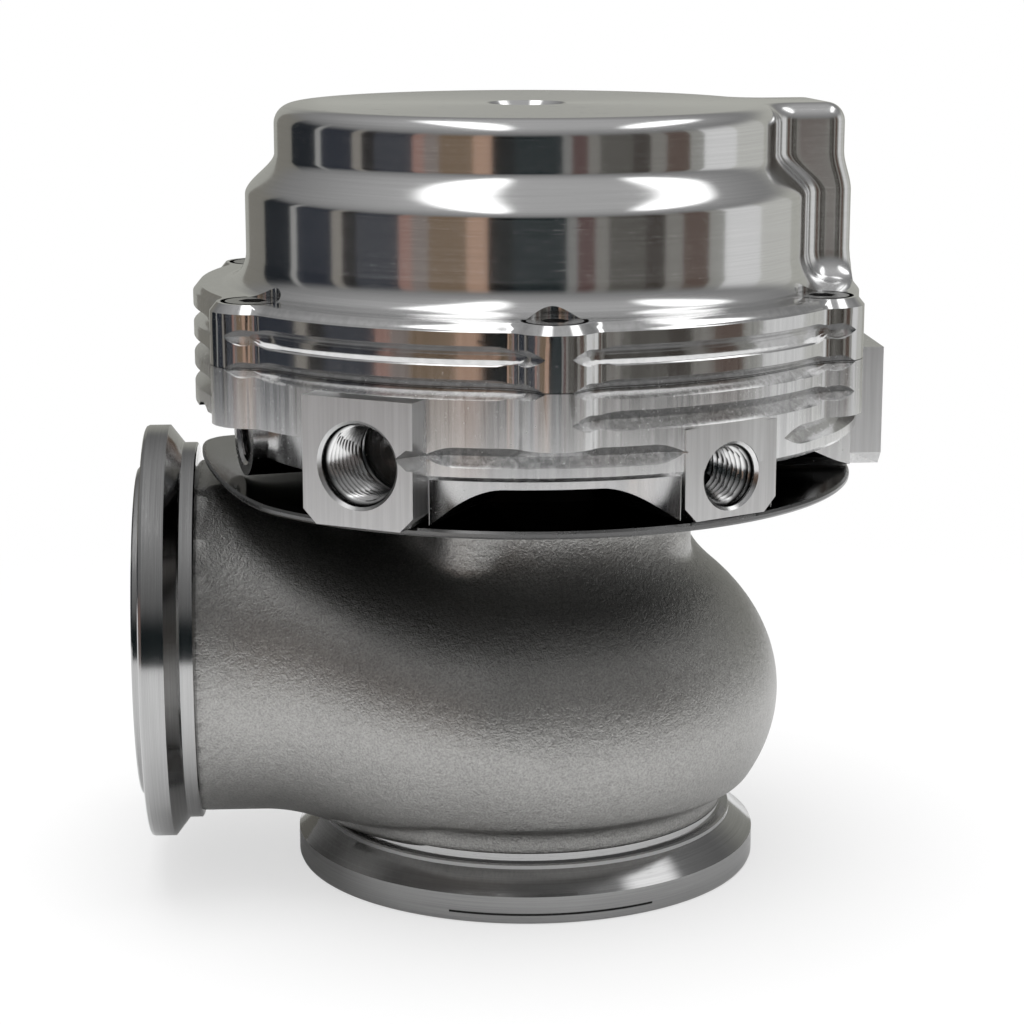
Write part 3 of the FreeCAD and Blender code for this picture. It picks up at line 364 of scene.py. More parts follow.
def milled_metal(name, light, dark, roughness, streaks=0.5, ripples=0.0):
    """Aluminium milled with the side of a cutter: upright streaks that change over the plan, cutter ripples
    in the grooves, and a dark hairline where cap and base meet."""
    shade = new_shade(name)
    x, y, z = shade.coordinates()
    streak = shade.noise(shade.vector(x, y, z * 0.03), 1500.0, 3.0, 0.65)
    broad = shade.noise(shade.vector(x, y, z * 0.25), 160.0, 2.0)
    nick = shade.noise(shade.vector(x, y, z), 2600.0, 2.0).ramp(0.68, 0.76)
    colour = shade.mixed(streak.ramp(0.3, 0.7) * 0.7 + broad * 0.3, dark, light)
    off_joint = shade.math("ABSOLUTE", z - CAP_LOW.z)
    hairline = off_joint.ramp(HAIRLINE_HALF, HAIRLINE_FADE, HAIRLINE_SHARE, 0.0)
    colour = shade.mixed(hairline, colour, grey(60))
    rough = roughness * (0.65 + streaks * streak + 0.35 * broad) + 0.1 * nick
    reach = shade.reach(x, y)
    below_wall = reach.ramp(WALL_R - 0.05 * MM, WALL_R - 0.25 * MM)
    above_root = reach.ramp(GROOVE_ROOT_R - 0.4 * MM, GROOVE_ROOT_R - 0.2 * MM)
    ripple = shade.math("SINE", z * (TAU / RIPPLE_PITCH)) * (below_wall * above_root)
    skin_height = (streak * 0.8 + nick * 0.5 + broad) * 1.2e-6
    normal = shade.bump(skin_height + ripple * ripples, 1.0, 0.6)
    return finish(shade, colour, 1.0, rough, normal)


def cast_metal(name):
    """Bead-blasted stainless casting: fine bright grain on a grey skin with slightly darker patches."""
    shade = new_shade(name)
    x, y, z = shade.coordinates()
    place = shade.vector(x, y, z)
    grain = shade.noise(place, 3600.0, 3.0, 0.65)
    coarse = shade.noise(place, 1100.0, 2.0)
    patch = shade.noise(place, 45.0, 3.0)
    tone = grain.ramp(0.25, 0.75) * 0.5 + coarse * 0.25 + patch * 0.25
    colour = shade.mixed(tone, grey(124, CAST_TINT), grey(196, CAST_TINT))
    rough = 0.24 + 0.16 * grain + 0.08 * patch
    normal = shade.bump(grain + 0.9 * coarse, 1.0e-4, 0.9)
    return finish(shade, colour, 1.0, rough, normal)


def plain_metal(name, colour, roughness):
    """Plain metal of one colour with fine even marks."""
    shade = new_shade(name)
    x, y, z = shade.coordinates()
    marks = shade.noise(shade.vector(x, y, z * 8), 1200.0, 2.0)
    dark = tuple(c * 0.8 for c in colour[:3]) + (1.0,)
    tone = shade.mixed(marks, dark, colour)
    return finish(shade, tone, 1.0, roughness * (0.8 + 0.4 * marks), shade.bump(marks, 3e-6))


def thread_metal(name):
    """Painted highlight on the crests and painted shade in the roots, by the share of the ridge's height kept
    on the mesh.
    """
    shade = new_shade(name)
    crest = Value(shade, shade.node("ShaderNodeAttribute", {"attribute_name": "crest"}).outputs["Fac"])
    x, y, z = shade.coordinates()
    marks = shade.noise(shade.vector(x, y, z), 2200.0, 2.0)
    # Crests painted bright as a highlight, roots painted dark as shade.
    colour = shade.mixed(crest.ramp(0.1, 0.75), grey(38), grey(225))
    return finish(shade, colour, 1.0, 0.16 + 0.1 * marks, shade.bump(marks, 2e-6))


def painted_shade_shield(name):
    """Steel sheet painted dark as shade, with a paler rim and faint cloudy wear."""
    shade = new_shade(name)
    x, y, z = shade.coordinates()
    reach = shade.reach(x, y)
    rim = reach.ramp(SHIELD_HIGH.x - PALE_RIM, SHIELD_HIGH.x - 0.7 * PALE_RIM)
    wear = shade.noise(shade.vector(x, y, z), 130.0, 4.0, 0.6)
    # Both greys are dark: painted shade over the steel. The cloudy noise between them is wear.
    tone = shade.mixed(wear.ramp(0.35, 0.75), grey(52), grey(72))
    colour = shade.mixed(rim, tone, grey(112))
    rough = 0.10 + 0.10 * wear + 0.12 * rim
    return finish(shade, colour, 1.0, rough, shade.bump(wear, 4e-6, 0.5))


def moulded_rubber(name):
    """Dull dark rubber with an even fine weave."""
    shade = new_shade(name)
    x, y, z = shade.coordinates()
    weave = shade.noise(shade.vector(x, y, z), 3000.0, 1.0)
    colour = shade.mixed(weave, grey(28), grey(46))
    return finish(shade, colour, 0.0, 0.6 + 0.15 * weave, shade.bump(weave, 2e-5))


def dress(piece, material, body=None, replaces=()):
    """Gives a piece its material, attaches a new piece to its body and hides the CAD nodes it stands for."""
    piece.data.materials.clear()
    piece.data.materials.append(material)
    if body:
        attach(piece, body)
    if replaces:
        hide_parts(*replaces)


# ---- cap: sizes in metres ----
DOME_R = 37.8 * MM
CROWN_R = 33.8 * MM
EAR_CLOCK = math.radians(96.0)
EAR_REACH = 43.9 * MM
EAR_CROWN_REACH = 42.8 * MM
EAR_HALF = 8.2 * MM
EAR_VALLEY = 3.6 * MM
EAR_CORNER = 3.0 * MM
FLANGE_TOP = CAP_LOW.z + 8.0 * MM
BASE_BLEND = 3.4 * MM
BASE_BLEND_H = 4.0 * MM
BASE_LIMIT = 44.2 * MM
RIM_LOW = CAP_LOW.z + 6.0 * MM
RIM_CHAMFER = 0.9 * MM
RIM_CHAMFER_H = 1.1 * MM
WALL_R = 45.0 * MM
LOBE_R = 5.5 * MM
LOBE_HOLLOW = 2.5 * MM
GROOVE_ROOT_R = 43.5 * MM
STEP_Z = CAP_LOW.z + 19.6 * MM
STEP_H = 5.5 * MM
CROWN_ROUND = 2.6 * MM
BOLT_CIRCLE = 42.3 * MM
COUNTERBORE = 4.1 * MM
BLEND_CUT = 3.6 * MM
LOBES = 6
CAP_WALL = 3.5 * MM
RECESS_R = 4.8 * MM
RECESS_DEPTH = 1.5 * MM
RECESS_CHAMFER = 0.6 * MM
# How far behind the ear port's place its wide bore and its narrow feed begin.
EAR_PORT_DEPTH = 3 * MM
EAR_FEED_R = 2.8 * MM
EAR_FEED_DEPTH = 12 * MM
TOOL_LENGTH = 20 * MM
BLEND_STEPS = 15
BLEND_FOOT = 0.5 * MM
STEP_STEPS = 41
LEAST_VALLEY = 0.2 * MM
CLEAR = 0.1


def arc(centre, radius, start, end, count):
    """Points on an arc from one angle to another, without its last point."""
    turn = np.linspace(start, end, count, endpoint=False)
    return np.column_stack([centre[0] + radius * np.cos(turn), centre[1] + radius * np.sin(turn)])


def line(start, end, count):
    """Evenly spaced points on a straight line, without its last point."""
    share = np.linspace(0, 1, count, endpoint=False)[:, None]
    return np.array(start) * (1 - share) + np.array(end) * share


def spun(flat, turn, z):
    """Flat points turned about the origin and put at a height."""
    x, y = flat[:, 0], flat[:, 1]
    across = x * math.cos(turn) - y * math.sin(turn)
    along = x * math.sin(turn) + y * math.cos(turn)
    return np.column_stack([across, along, np.full(len(flat), z)])


def eared_ring(z, dome, reach, half=EAR_HALF, valley=EAR_VALLEY, corner=EAR_CORNER):
    """Counter-clockwise outline of a round dome with one square ear along +X, then clocked: dome arc,
    hollow valley arcs tangent to dome and ear, straight sides, corner arcs and a straight face. The last
    number of each part is its count of points."""
    run = math.sqrt((dome + valley) ** 2 - (half + valley) ** 2)
    lean = math.atan2(half + valley, run)
    bend = reach - corner
    parts = [
        arc((0, 0), dome, lean, TAU - lean, 420),
        arc((run, -half - valley), valley, math.pi - lean, math.pi / 2, 24),
        line((run, -half), (bend, -half), 8),
        arc((bend, corner - half), corner, -math.pi / 2, 0, 20),
        line((reach, corner - half), (reach, half - corner), 16),
        arc((bend, half - corner), corner, 0, math.pi / 2, 20),
        line((bend, half), (run, half), 8),
        arc((run, half + valley), valley, -math.pi / 2, lean - math.pi, 24),
    ]
    flat = np.concatenate(parts)
    return spun(flat, EAR_CLOCK - math.pi / 2, z)


def grown_ring(z, dome, reach, grow):
    """Eared outline moved outwards by a distance."""
    valley = max(EAR_VALLEY - grow, LEAST_VALLEY)
    return eared_ring(z, dome + grow, reach + grow, EAR_HALF + grow, valley, EAR_CORNER + grow)


def base_ring(z, grow):
    """Grown outline, pulled in where it would reach past the flange's edge."""
    ring = grown_ring(z, DOME_R, EAR_REACH, grow)
    reach = np.hypot(ring[:, 0], ring[:, 1])[:, None]
    ring[:, :2] *= np.minimum(1, BASE_LIMIT / reach)
    return ring


def lobed_ring(z, inset):
    """Outline of the wall's circle with six round lobes on the bolt circle. A hollow arc joins each lobe to
    the wall: its centre stands off both by its own radius. The whole outline is moved in by an inset."""
    wall, lobe, hollow = WALL_R - inset, LOBE_R - inset, LOBE_HOLLOW + inset
    far, near = wall + hollow, lobe + hollow
    lean = math.acos((far**2 + BOLT_CIRCLE**2 - near**2) / (2 * far * BOLT_CIRCLE))
    x, y = far * math.cos(lean), far * math.sin(lean)
    open_half = math.atan2(y, x - BOLT_CIRCLE)
    one = np.concatenate([
        arc((x, -y), hollow, math.pi - lean, math.pi - open_half, 16),
        arc((BOLT_CIRCLE, 0), lobe, -open_half, open_half, 48),
        arc((x, y), hollow, math.pi + open_half, math.pi + lean, 16),
        arc((0, 0), wall, lean, TAU / LOBES - lean, 60),
    ])
    return np.concatenate([spun(one, i * TAU / LOBES - math.pi / 2, z) for i in range(LOBES)])


def dome_rings():
    """Base blend: a hollow quarter oval. Wall. Step: a smooth S in both radius and reach. Crown: a round
    quarter circle in to the flat top."""
    rings = [base_ring(FLANGE_TOP - BLEND_FOOT, BASE_BLEND)]
    for a in np.linspace(0, math.pi / 2, BLEND_STEPS):
        grow = BASE_BLEND * (1 - math.sin(a))
        rings.append(base_ring(FLANGE_TOP + BASE_BLEND_H * (1 - math.cos(a)), grow))
    for share in np.linspace(0, 1, STEP_STEPS):
        eased = share * share * (3 - 2 * share)
        dome = DOME_R + (CROWN_R - DOME_R) * eased
        reach = EAR_REACH + (EAR_CROWN_REACH - EAR_REACH) * eased
        rings.append(eared_ring(STEP_Z + STEP_H * share, dome, reach))
    round_z = CAP_HIGH.z - CROWN_ROUND
    for a in np.linspace(0, math.pi / 2, BLEND_STEPS):
        grow = CROWN_ROUND * (math.cos(a) - 1)
        rings.append(grown_ring(round_z + CROWN_ROUND * math.sin(a), CROWN_R, EAR_CROWN_REACH, grow))
    return np.stack(rings)


def lobe_drills(radius, low, length):
    """One upright cylinder on each lobe's centre."""
    turn = np.arange(LOBES) * TAU / LOBES
    spots = np.column_stack([BOLT_CIRCLE * np.sin(turn), -BOLT_CIRCLE * np.cos(turn)])
    return [cylinder_along("counterbore", (x, y, low), (0, 0, 1), radius, length) for x, y in spots]


def cap_hollows():
    """What is cut out of the dome: spring chamber, counterbores, top recess and the ear's port."""
    inside, crown_in = DOME_R - CAP_WALL, CROWN_R - CAP_WALL
    roof = CAP_HIGH.z - CAP_WALL
    chamber = [
        (inside, CAP_LOW.z), (inside, STEP_Z), (crown_in, STEP_Z + STEP_H - CAP_WALL), (crown_in, roof),
    ]
    wide = RECESS_R + RECESS_CHAMFER
    recess = [(RECESS_R, -RECESS_DEPTH), (RECESS_R, -RECESS_CHAMFER), (wide, 0.0), (wide, MM)]
    port = MOUNTS["cap_air_port"]
    at, out = Vector(port["pos_m"]), Vector(port["axis"])
    radius = port["dims"]["r_mm"] * MM
    return [
        turned("hollow", chamber, 180),
        *lobe_drills(BLEND_CUT, CAP_LOW.z, STEP_Z - CAP_LOW.z),
        turned("recess", recess, 128, centre=(0, 0, CAP_HIGH.z)),
        cylinder_along("port", at - out * EAR_PORT_DEPTH, out, radius, TOOL_LENGTH),
        cylinder_along("feed", at - out * EAR_FEED_DEPTH, out, EAR_FEED_R, TOOL_LENGTH),
    ]


def make_cap():
    """The grooved flange from the CAD node up to the rim, a chamfered rim on the lobed outline, and the dome
    cut by its hollows."""
    flange = copy_of_node("cap", "cap_flange")
    above = box_between("above_flange", (-CLEAR, -CLEAR, RIM_LOW), (CLEAR, CLEAR, 2 * CLEAR))
    combine(flange, [above], "DIFFERENCE")
    dome = skin("cap_dome", dome_rings())
    combine(dome, cap_hollows(), "DIFFERENCE")
    levels = [(RIM_LOW, 0), (FLANGE_TOP - RIM_CHAMFER_H, 0), (FLANGE_TOP, RIM_CHAMFER)]
    rim = skin("cap_rim", np.stack([lobed_ring(z, inset) for z, inset in levels]))
    inside = DOME_R - CAP_WALL
    chamber = turned("rim_hollow", [(inside, RIM_LOW - MM), (inside, FLANGE_TOP + MM)], 180)
    combine(rim, [chamber, *lobe_drills(COUNTERBORE, RIM_LOW - MM, 5 * MM)], "DIFFERENCE")
    dress(rim, MILLED_CAP, "housing", ["cap"])
    dress(dome, POLISHED_CAP, "housing", ["cap"])
    dress(flange, MILLED_CAP, "housing", ["cap"])


# ---- casting and its flanges ----
INLET_RIM = 32.0 * MM
INLET_LIP = 28.8 * MM
SEAT_R = 25.01 * MM
OUTLET_Z = MOUNTS["outlet_pilot"]["pos_m"][2]
OUTLET_X = CASTING_LOW.x
OUTLET_RIM = 28.35 * MM
OUTLET_PILOT = 22.6 * MM
OUTLET_NECK = 25.9 * MM
OUTLET_MOUTH = 20.62 * MM
OUTLET_DEPTH = 8.6 * MM
FLANGE_STEPS = 720
CASTING_TOP = SHIELD_LOW.z
CASTING_FLOOR = 4 * MM
BULB_R = 35.2 * MM
BULB_HALF_H = 25.8 * MM
BULB_Z = 24.0 * MM
NECK_R = 21.8 * MM
# The outlet tube's oval section, in millimetres, at distances from the valve's axis. A quartic through
# each row gives the sizes between.
TUBE_STATIONS = (5.0, 15.5, 26.0, 35.0, 40.9, 46.9)
TUBE_HALF_WIDTHS = (34.4, 33.0, 29.3, 25.4, 24.5, 25.0)
TUBE_HALF_HEIGHTS = (16.8, 19.0, 21.3, 23.2, 23.9, 25.0)
TUBE_FLOORS = (9.5, 8.8, 8.1, 7.6, 7.5, 7.5)
TUBE_CURVES = [
    np.polyfit(TUBE_STATIONS, sizes, 4) for sizes in (TUBE_HALF_WIDTHS, TUBE_HALF_HEIGHTS, TUBE_FLOORS)
]
TUBE_ROOT_X = -5 * MM
TUBE_END_X = OUTLET_X + 8 * MM
TUBE_ROOT_BLEND = 6 * MM
TUBE_BLEND = 7 * MM
CAST_BLEND = 5.0 * MM
WAIST_R = 30.2 * MM
WAIST_Z = 9.4 * MM
WAIST_CUT_R = 2.5 * MM
WAIST_BLEND = 1.6 * MM
WAIST_FADE_X = -24 * MM
WAIST_FADE = 10 * MM
BOSSES = 4
BOSS_BLEND = 1.1 * MM
BOSS_R = 6.2 * MM
BOSS_CLOCK = math.radians(-27.0)
BOSS_CIRCLE = 17.6 * MM
BOSS_LOW = 46.4 * MM
CAST_WALL = 4 * MM
CHAMBER_MOUTH_R = 24.0 * MM
CHAMBER_FLOOR = 6 * MM
CHAMBER_ROOF = 40 * MM
GUIDE_BOSS_R = 9.5 * MM
GUIDE_BOSS_Z = 34.5 * MM
GUIDE_BORE = ((6.51 * MM, 33 * MM), (6.51 * MM, 60 * MM))
# Radius and place along X of the passage's circles, from the chamber out.
PASSAGE = ((14 * MM, -13 * MM), (19 * MM, -35 * MM), (20.2 * MM, -45.3 * MM))
OUTLET_BORE = 20.6 * MM
OUTLET_BORE_DEPTH = 9 * MM
SEAT_RING = 4.5 * MM
SEAT_DEPTH = 7 * MM
# Rays that find the outer skin.
RAY_START = (-8 * MM, 0, 27 * MM)
RAY_REACH = 80 * MM
RAY_TILTS = 220
RAY_TURNS = 360
POLE_GAP = 0.02
HALVINGS = 34


def soft_union(a, b, blend):
    """Smallest of two distances, rounded where they meet: the polynomial smooth minimum."""
    share = np.clip(0.5 + 0.5 * (b - a) / blend, 0, 1)
    return b * (1 - share) + a * share - blend * share * (1 - share)


def casting_field(p):
    """Negative inside the casting: a flattened ball, an upright neck, an oval tube and four screw bosses with
    round bottoms, all softly joined, less a shallow waist above the inlet flange, and cut flat at the top,
    the floor and the tube's end."""
    x, y, z = p[..., 0], p[..., 1], p[..., 2]
    across = np.hypot(x, y)
    u, v = across / BULB_R, (z - BULB_Z) / BULB_HALF_H
    k = np.hypot(u, v)
    slope = np.hypot(u / BULB_R, v / BULB_HALF_H) / np.maximum(k, 1e-6)
    bulb = (k - 1) / np.maximum(slope, 1e-6)
    neck = across - NECK_R
    half_w, half_h, floor = [np.polyval(curve, -x / MM) * MM for curve in TUBE_CURVES]
    rise = z - floor - half_h
    q = np.hypot(y / half_w, rise / half_h)
    tube = (q - 1) * q / np.maximum(np.hypot(y / half_w**2, rise / half_h**2), 1e-6)
    tube = -soft_union(-tube, TUBE_ROOT_X - x, TUBE_ROOT_BLEND)
    body = soft_union(bulb, tube, TUBE_BLEND)
    body = soft_union(body, np.maximum(neck, BULB_Z - z), CAST_BLEND)
    for i in range(BOSSES):
        turn = BOSS_CLOCK + i * TAU / BOSSES
        bx, by = BOSS_CIRCLE * math.sin(turn), -BOSS_CIRCLE * math.cos(turn)
        sink = np.minimum(z - BOSS_LOW, 0)
        boss = np.sqrt((x - bx) ** 2 + (y - by) ** 2 + sink**2) - BOSS_R
        body = soft_union(body, boss, BOSS_BLEND)
    waist_r = WAIST_CUT_R * np.clip((x - WAIST_FADE_X) / WAIST_FADE, 0, 1)
    waist = np.hypot(across - WAIST_R, z - WAIST_Z) - waist_r
    body = -soft_union(-body, waist, WAIST_BLEND)
    ends = np.maximum(z - CASTING_TOP, CASTING_FLOOR - z)
    return np.maximum(body, np.maximum(ends, TUBE_END_X - x))


def casting_rings():
    """Grid of rays from a point inside the casting, by angle from the tube's axis and turn about it. Each
    ray's length is found by bisection of the field. Both poles are left as small flat ends."""
    start = np.array(RAY_START)
    tilt = np.linspace(POLE_GAP, math.pi - POLE_GAP, RAY_TILTS)[:, None]
    turn = np.linspace(0, TAU, RAY_TURNS, endpoint=False)[None, :]
    ray = np.stack([-np.cos(tilt) + 0 * turn, np.sin(tilt) * np.cos(turn), np.sin(tilt) * np.sin(turn)], -1)
    near, far = np.zeros(ray.shape[:2]), np.full(ray.shape[:2], RAY_REACH)
    for _ in range(HALVINGS):
        middle = (near + far) / 2
        inside = casting_field(start + ray * middle[..., None]) < 0
        near = np.where(inside, middle, near)
        far = np.where(inside, far, middle)
    return (start + ray * near[..., None])[::-1]


def chamber_profile():
    """Radius and height of the gas chamber: the bulb's ball one wall further in, opened at the floor and
    stopped at the roof round the guide's boss."""
    inner_r, inner_h = BULB_R - CAST_WALL, BULB_HALF_H - CAST_WALL
    low = BULB_Z - inner_h * math.sqrt(1 - (CHAMBER_MOUTH_R / inner_r) ** 2)
    z = np.linspace(low, CHAMBER_ROOF, 40)
    ball = np.column_stack([inner_r * np.sqrt(1 - ((z - BULB_Z) / inner_h) ** 2), z])
    boss = [(GUIDE_BOSS_R, CHAMBER_ROOF), (GUIDE_BOSS_R, GUIDE_BOSS_Z)]
    return np.concatenate([[(CHAMBER_MOUTH_R, CHAMBER_FLOOR)], ball, boss])


def passage_rings():
    """Circles of the outlet passage, which keep one straight floor."""
    floor = OUTLET_Z - PASSAGE[-1][0]
    rings = [turned_rings([(radius, x)], 128, "x", (0, 0, floor + radius))[0] for radius, x in PASSAGE]
    return np.stack(rings)[::-1]


def make_casting():
    """Outer skin minus the chamber, the outlet passage and bore, the seat's recess and the guide's bore."""
    casting = skin("casting", casting_rings())
    bore = [(OUTLET_BORE, OUTLET_X - MM), (OUTLET_BORE, OUTLET_X + OUTLET_BORE_DEPTH)]
    recess_r = MOUNTS["inlet_bore"]["dims"]["r_mm"] * MM + SEAT_RING
    tools = [
        turned("chamber", chamber_profile(), 192),
        skin("passage", passage_rings()),
        turned("bore", bore, 160, "x", (0, 0, OUTLET_Z)),
        turned("seat_recess", [(recess_r, -MM), (recess_r, SEAT_DEPTH)], 160),
        turned("guide_bore", GUIDE_BORE, 96),
    ]
    combine(casting, tools, "DIFFERENCE")
    settle(casting, 40.0)
    dress(casting, CAST_STEEL, "housing", ["valve_body"])


def make_flanges():
    """V-band flanges as turned closed sections of (radius, height): face, rim, cone, lip and neck."""
    section = [
        (SEAT_R, 0.0), (31.5 * MM, 0.0), (31.85 * MM, 0.15 * MM), (INLET_RIM, 0.5 * MM),
        (INLET_RIM, 3.8 * MM), (INLET_LIP, 6.5 * MM), (INLET_LIP, 7.0 * MM), (28.6 * MM, 7.2 * MM),
        (27.7 * MM, 7.3 * MM), (27.6 * MM, 8.2 * MM), (25.5 * MM, 9.0 * MM), (SEAT_R, 9.0 * MM),
    ]
    inlet = turned("inlet_flange", section, FLANGE_STEPS, loop=True)
    settle(inlet, 20.0)
    dress(inlet, TURNED_INLET, "housing", ["valve_body"])
    section = [
        (OUTLET_MOUTH, 0.0), (22.4 * MM, 0.0), (OUTLET_PILOT, 0.2 * MM), (OUTLET_PILOT, 1.2 * MM),
        (27.9 * MM, 1.2 * MM), (28.2 * MM, 1.35 * MM), (OUTLET_RIM, 1.7 * MM), (OUTLET_RIM, 4.5 * MM),
        (OUTLET_NECK, 6.4 * MM), (OUTLET_NECK, 8.1 * MM), (25.6 * MM, 8.3 * MM), (24.8 * MM, 8.4 * MM),
        (24.0 * MM, OUTLET_DEPTH), (OUTLET_MOUTH, OUTLET_DEPTH),
    ]
    outlet = turned("outlet_flange", section, FLANGE_STEPS, "x", (OUTLET_X, 0, OUTLET_Z), loop=True)
    settle(outlet, 20.0)
    dress(outlet, TURNED_OUTLET, "housing", ["valve_body"])


# ---- heat shield ----
SHIELD_T = 1.0 * MM
SHIELD_EDGE = 0.3 * MM
SHIELD_HOLE_R = 9 * MM
SHIELD_FINE_R = 12 * MM
SHIELD_RINGS = 60
SHIELD_BEND_X = 34 * MM
SHIELD_BEND_R = 18 * MM


def make_shield():
    """Thin disc: rings of points by radius, its rise zero up to the bend line and an arc past it."""
    outer = SHIELD_HIGH.x
    spread = np.linspace(SHIELD_FINE_R, outer - SHIELD_EDGE, SHIELD_RINGS)
    radius = np.concatenate([[SHIELD_HOLE_R], spread, [outer, outer], spread[::-1], [SHIELD_HOLE_R]])
    levels = [0.0, SHIELD_EDGE, SHIELD_T - SHIELD_EDGE, SHIELD_T]
    height = np.repeat(levels, [SHIELD_RINGS + 1, 1, 1, SHIELD_RINGS + 1])
    rings = turned_rings(np.column_stack([radius, height]), 360)
    past = np.clip(-rings[..., 0] - SHIELD_BEND_X, 0, SHIELD_BEND_R)
    rise = SHIELD_BEND_R - np.sqrt(SHIELD_BEND_R**2 - past**2)
    share = (SHIELD_BEND_R - rings[..., 2]) / SHIELD_BEND_R
    rings[..., 2] = SHIELD_LOW.z + rings[..., 2] + rise * share
    shield = skin("shield", rings, loop=True)
    settle(shield, 30.0)
    dress(shield, SHIELD_PAINTED_SHADE, "housing", ["heat_shield"])


# ---- springs and diaphragm ----
# Mean radius, wire radius and turns.
SPRINGS = {
    "outer_spring": (26.6 * MM, 1.7 * MM, 3.5),
    "middle_spring": (20.0 * MM, 1.4 * MM, 4.5),
    "inner_spring": (13.4 * MM, 1.2 * MM, 5.5),
}
COIL_STEPS = 64
WIRE_STEPS = 20
DIAPHRAGM_T = 1.1 * MM
DIAPHRAGM_HOLE_R = 3.05 * MM
DIAPHRAGM_WEB_R = 32.05 * MM
DIAPHRAGM_CLAMP_R = 36.3 * MM


def make_spring(node, mean_r, wire_r, turns):
    """Round wire on a coil. The height rises by one wire thickness a turn, and the rest of the rise is a
    straight line less a sine between half a turn from each end, so that the end turns lie closed."""
    low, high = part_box(node)
    turn = np.linspace(0, turns, int(turns * COIL_STEPS) + 1)
    share = np.clip((turn - 0.5) / (turns - 1), 0, 1)
    eased = share - np.sin(TAU * share) / TAU
    extra = high.z - low.z - 2 * wire_r * (1 + turns)
    height = low.z + wire_r * (1 + 2 * turn) + extra * eased
    around = (np.arange(WIRE_STEPS) * TAU / WIRE_STEPS)[None, :]
    radius = mean_r + wire_r * np.sin(around)
    spin = (TAU * turn)[:, None]
    rise = height[:, None] + wire_r * np.cos(around)
    rings = np.stack([radius * np.cos(spin), radius * np.sin(spin), rise], -1)
    spring = skin(node + "_coil", rings)
    settle(spring, 40.0)
    dress(spring, SPRING_WIRE, "housing", [node])
    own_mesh(spring)


def make_diaphragm():
    """Turned sheet: a flat web, one S-shaped convolution by a smooth step, and a clamped flange."""
    low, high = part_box("diaphragm")
    thick, web, clamp = DIAPHRAGM_T, DIAPHRAGM_WEB_R, DIAPHRAGM_CLAMP_R
    flat, rolled = np.linspace(DIAPHRAGM_HOLE_R, web, 8), np.linspace(web, clamp, 27)[1:]
    radius = np.concatenate([flat, rolled, [high.x]])
    share = np.clip((radius - web) / (clamp - web), 0, 1)
    under = low.z + (high.z - thick - low.z) * share * share * (3 - 2 * share)
    height = np.concatenate([under, (under + thick)[::-1]])
    profile = np.column_stack([np.concatenate([radius, radius[::-1]]), height])
    sheet = turned("rolled_diaphragm", profile, 240, loop=True)
    settle(sheet, 50.0)
    dress(sheet, DIAPHRAGM_RUBBER, None, ["diaphragm"])
    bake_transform(sheet)


# ---- actuator base and port threads ----
HUB_LOW = 59.3 * MM
REAR_BLOCK_FACE = 48.0 * MM
REAR_BLOCK_HALF = 7.6 * MM
REAR_BLOCK_TOP = 72.0 * MM
REAR_BLOCK_ROOT = 43 * MM
REAR_BLOCK_FILL_Z = 67.4 * MM
BLOCK_HALF = 8 * MM
BLOCK_ABOVE_PORT = 8.7 * MM
HUB_SHADE_R = 36.4 * MM
PORT_RIM = 0.3 * MM
PORT_MARGIN = 0.1 * MM
WALL_MARGIN = 0.05 * MM
FACE_MARGIN = 0.02 * MM
THREAD_PITCH = 0.94 * MM
THREAD_DEPTH = 0.62 * MM
THREAD_RUNOUT = 0.6 * MM
THREAD_PROUD = 0.02 * MM
THREAD_SUNK = 0.1 * MM
THREAD_STEPS = 96
RINGS_PER_PITCH = 8


def make_thread(name, port):
    """Thread ridges on a port's wall: the radius falls by a triangle wave of the height along the hole plus
    one pitch a turn, fading out at both ends. The outer side lies just inside the metal. The share of the
    ridge's height at each point is kept as an attribute."""
    pitch, depth, steps = THREAD_PITCH, THREAD_DEPTH, THREAD_STEPS
    at, out = np.array(port["pos_m"]), Vector(port["axis"])
    radius = port["dims"]["r_mm"] * MM
    length = port["dims"]["length_mm"] * MM - THREAD_RUNOUT
    across = Vector((0, 0, 1))
    beside = out.cross(across)
    count = int(length / pitch * RINGS_PER_PITCH)
    turn = np.arange(steps)[None, :] * TAU / steps
    height = np.linspace(-length / 2, length / 2, count)[:, None]
    phase = (height / pitch + turn / TAU) % 1.0
    fade = np.clip((length / 2 - np.abs(height)) / pitch, 0, 1)
    ridge = depth * fade * (1 - np.abs(2 * phase - 1))
    inner = radius - ridge - THREAD_PROUD
    outer = np.full((count, steps), radius + THREAD_SUNK)
    ring_radius = np.concatenate([inner[::-1], outer])
    ring_height = np.concatenate([height[::-1], height]) + 0 * ring_radius
    spin = turn + 0 * ring_radius
    points = (at + (ring_radius * np.cos(spin))[..., None] * np.array(across)
              + (ring_radius * np.sin(spin))[..., None] * np.array(beside)
              + ring_height[..., None] * np.array(out))
    thread = skin(name, points, loop=True)
    # Share of the ridge's height: it sets the painted highlight on the crests and the painted shade in the
    # roots.
    crest = np.concatenate([(ridge / depth)[::-1], np.zeros((count, steps))])
    kept = thread.data.attributes.new("crest", "FLOAT", "POINT")
    kept.data.foreach_set("value", crest.astype(np.float32).ravel())
    settle(thread, 50.0)
    dress(thread, PAINTED_LIGHT_THREAD, "housing")


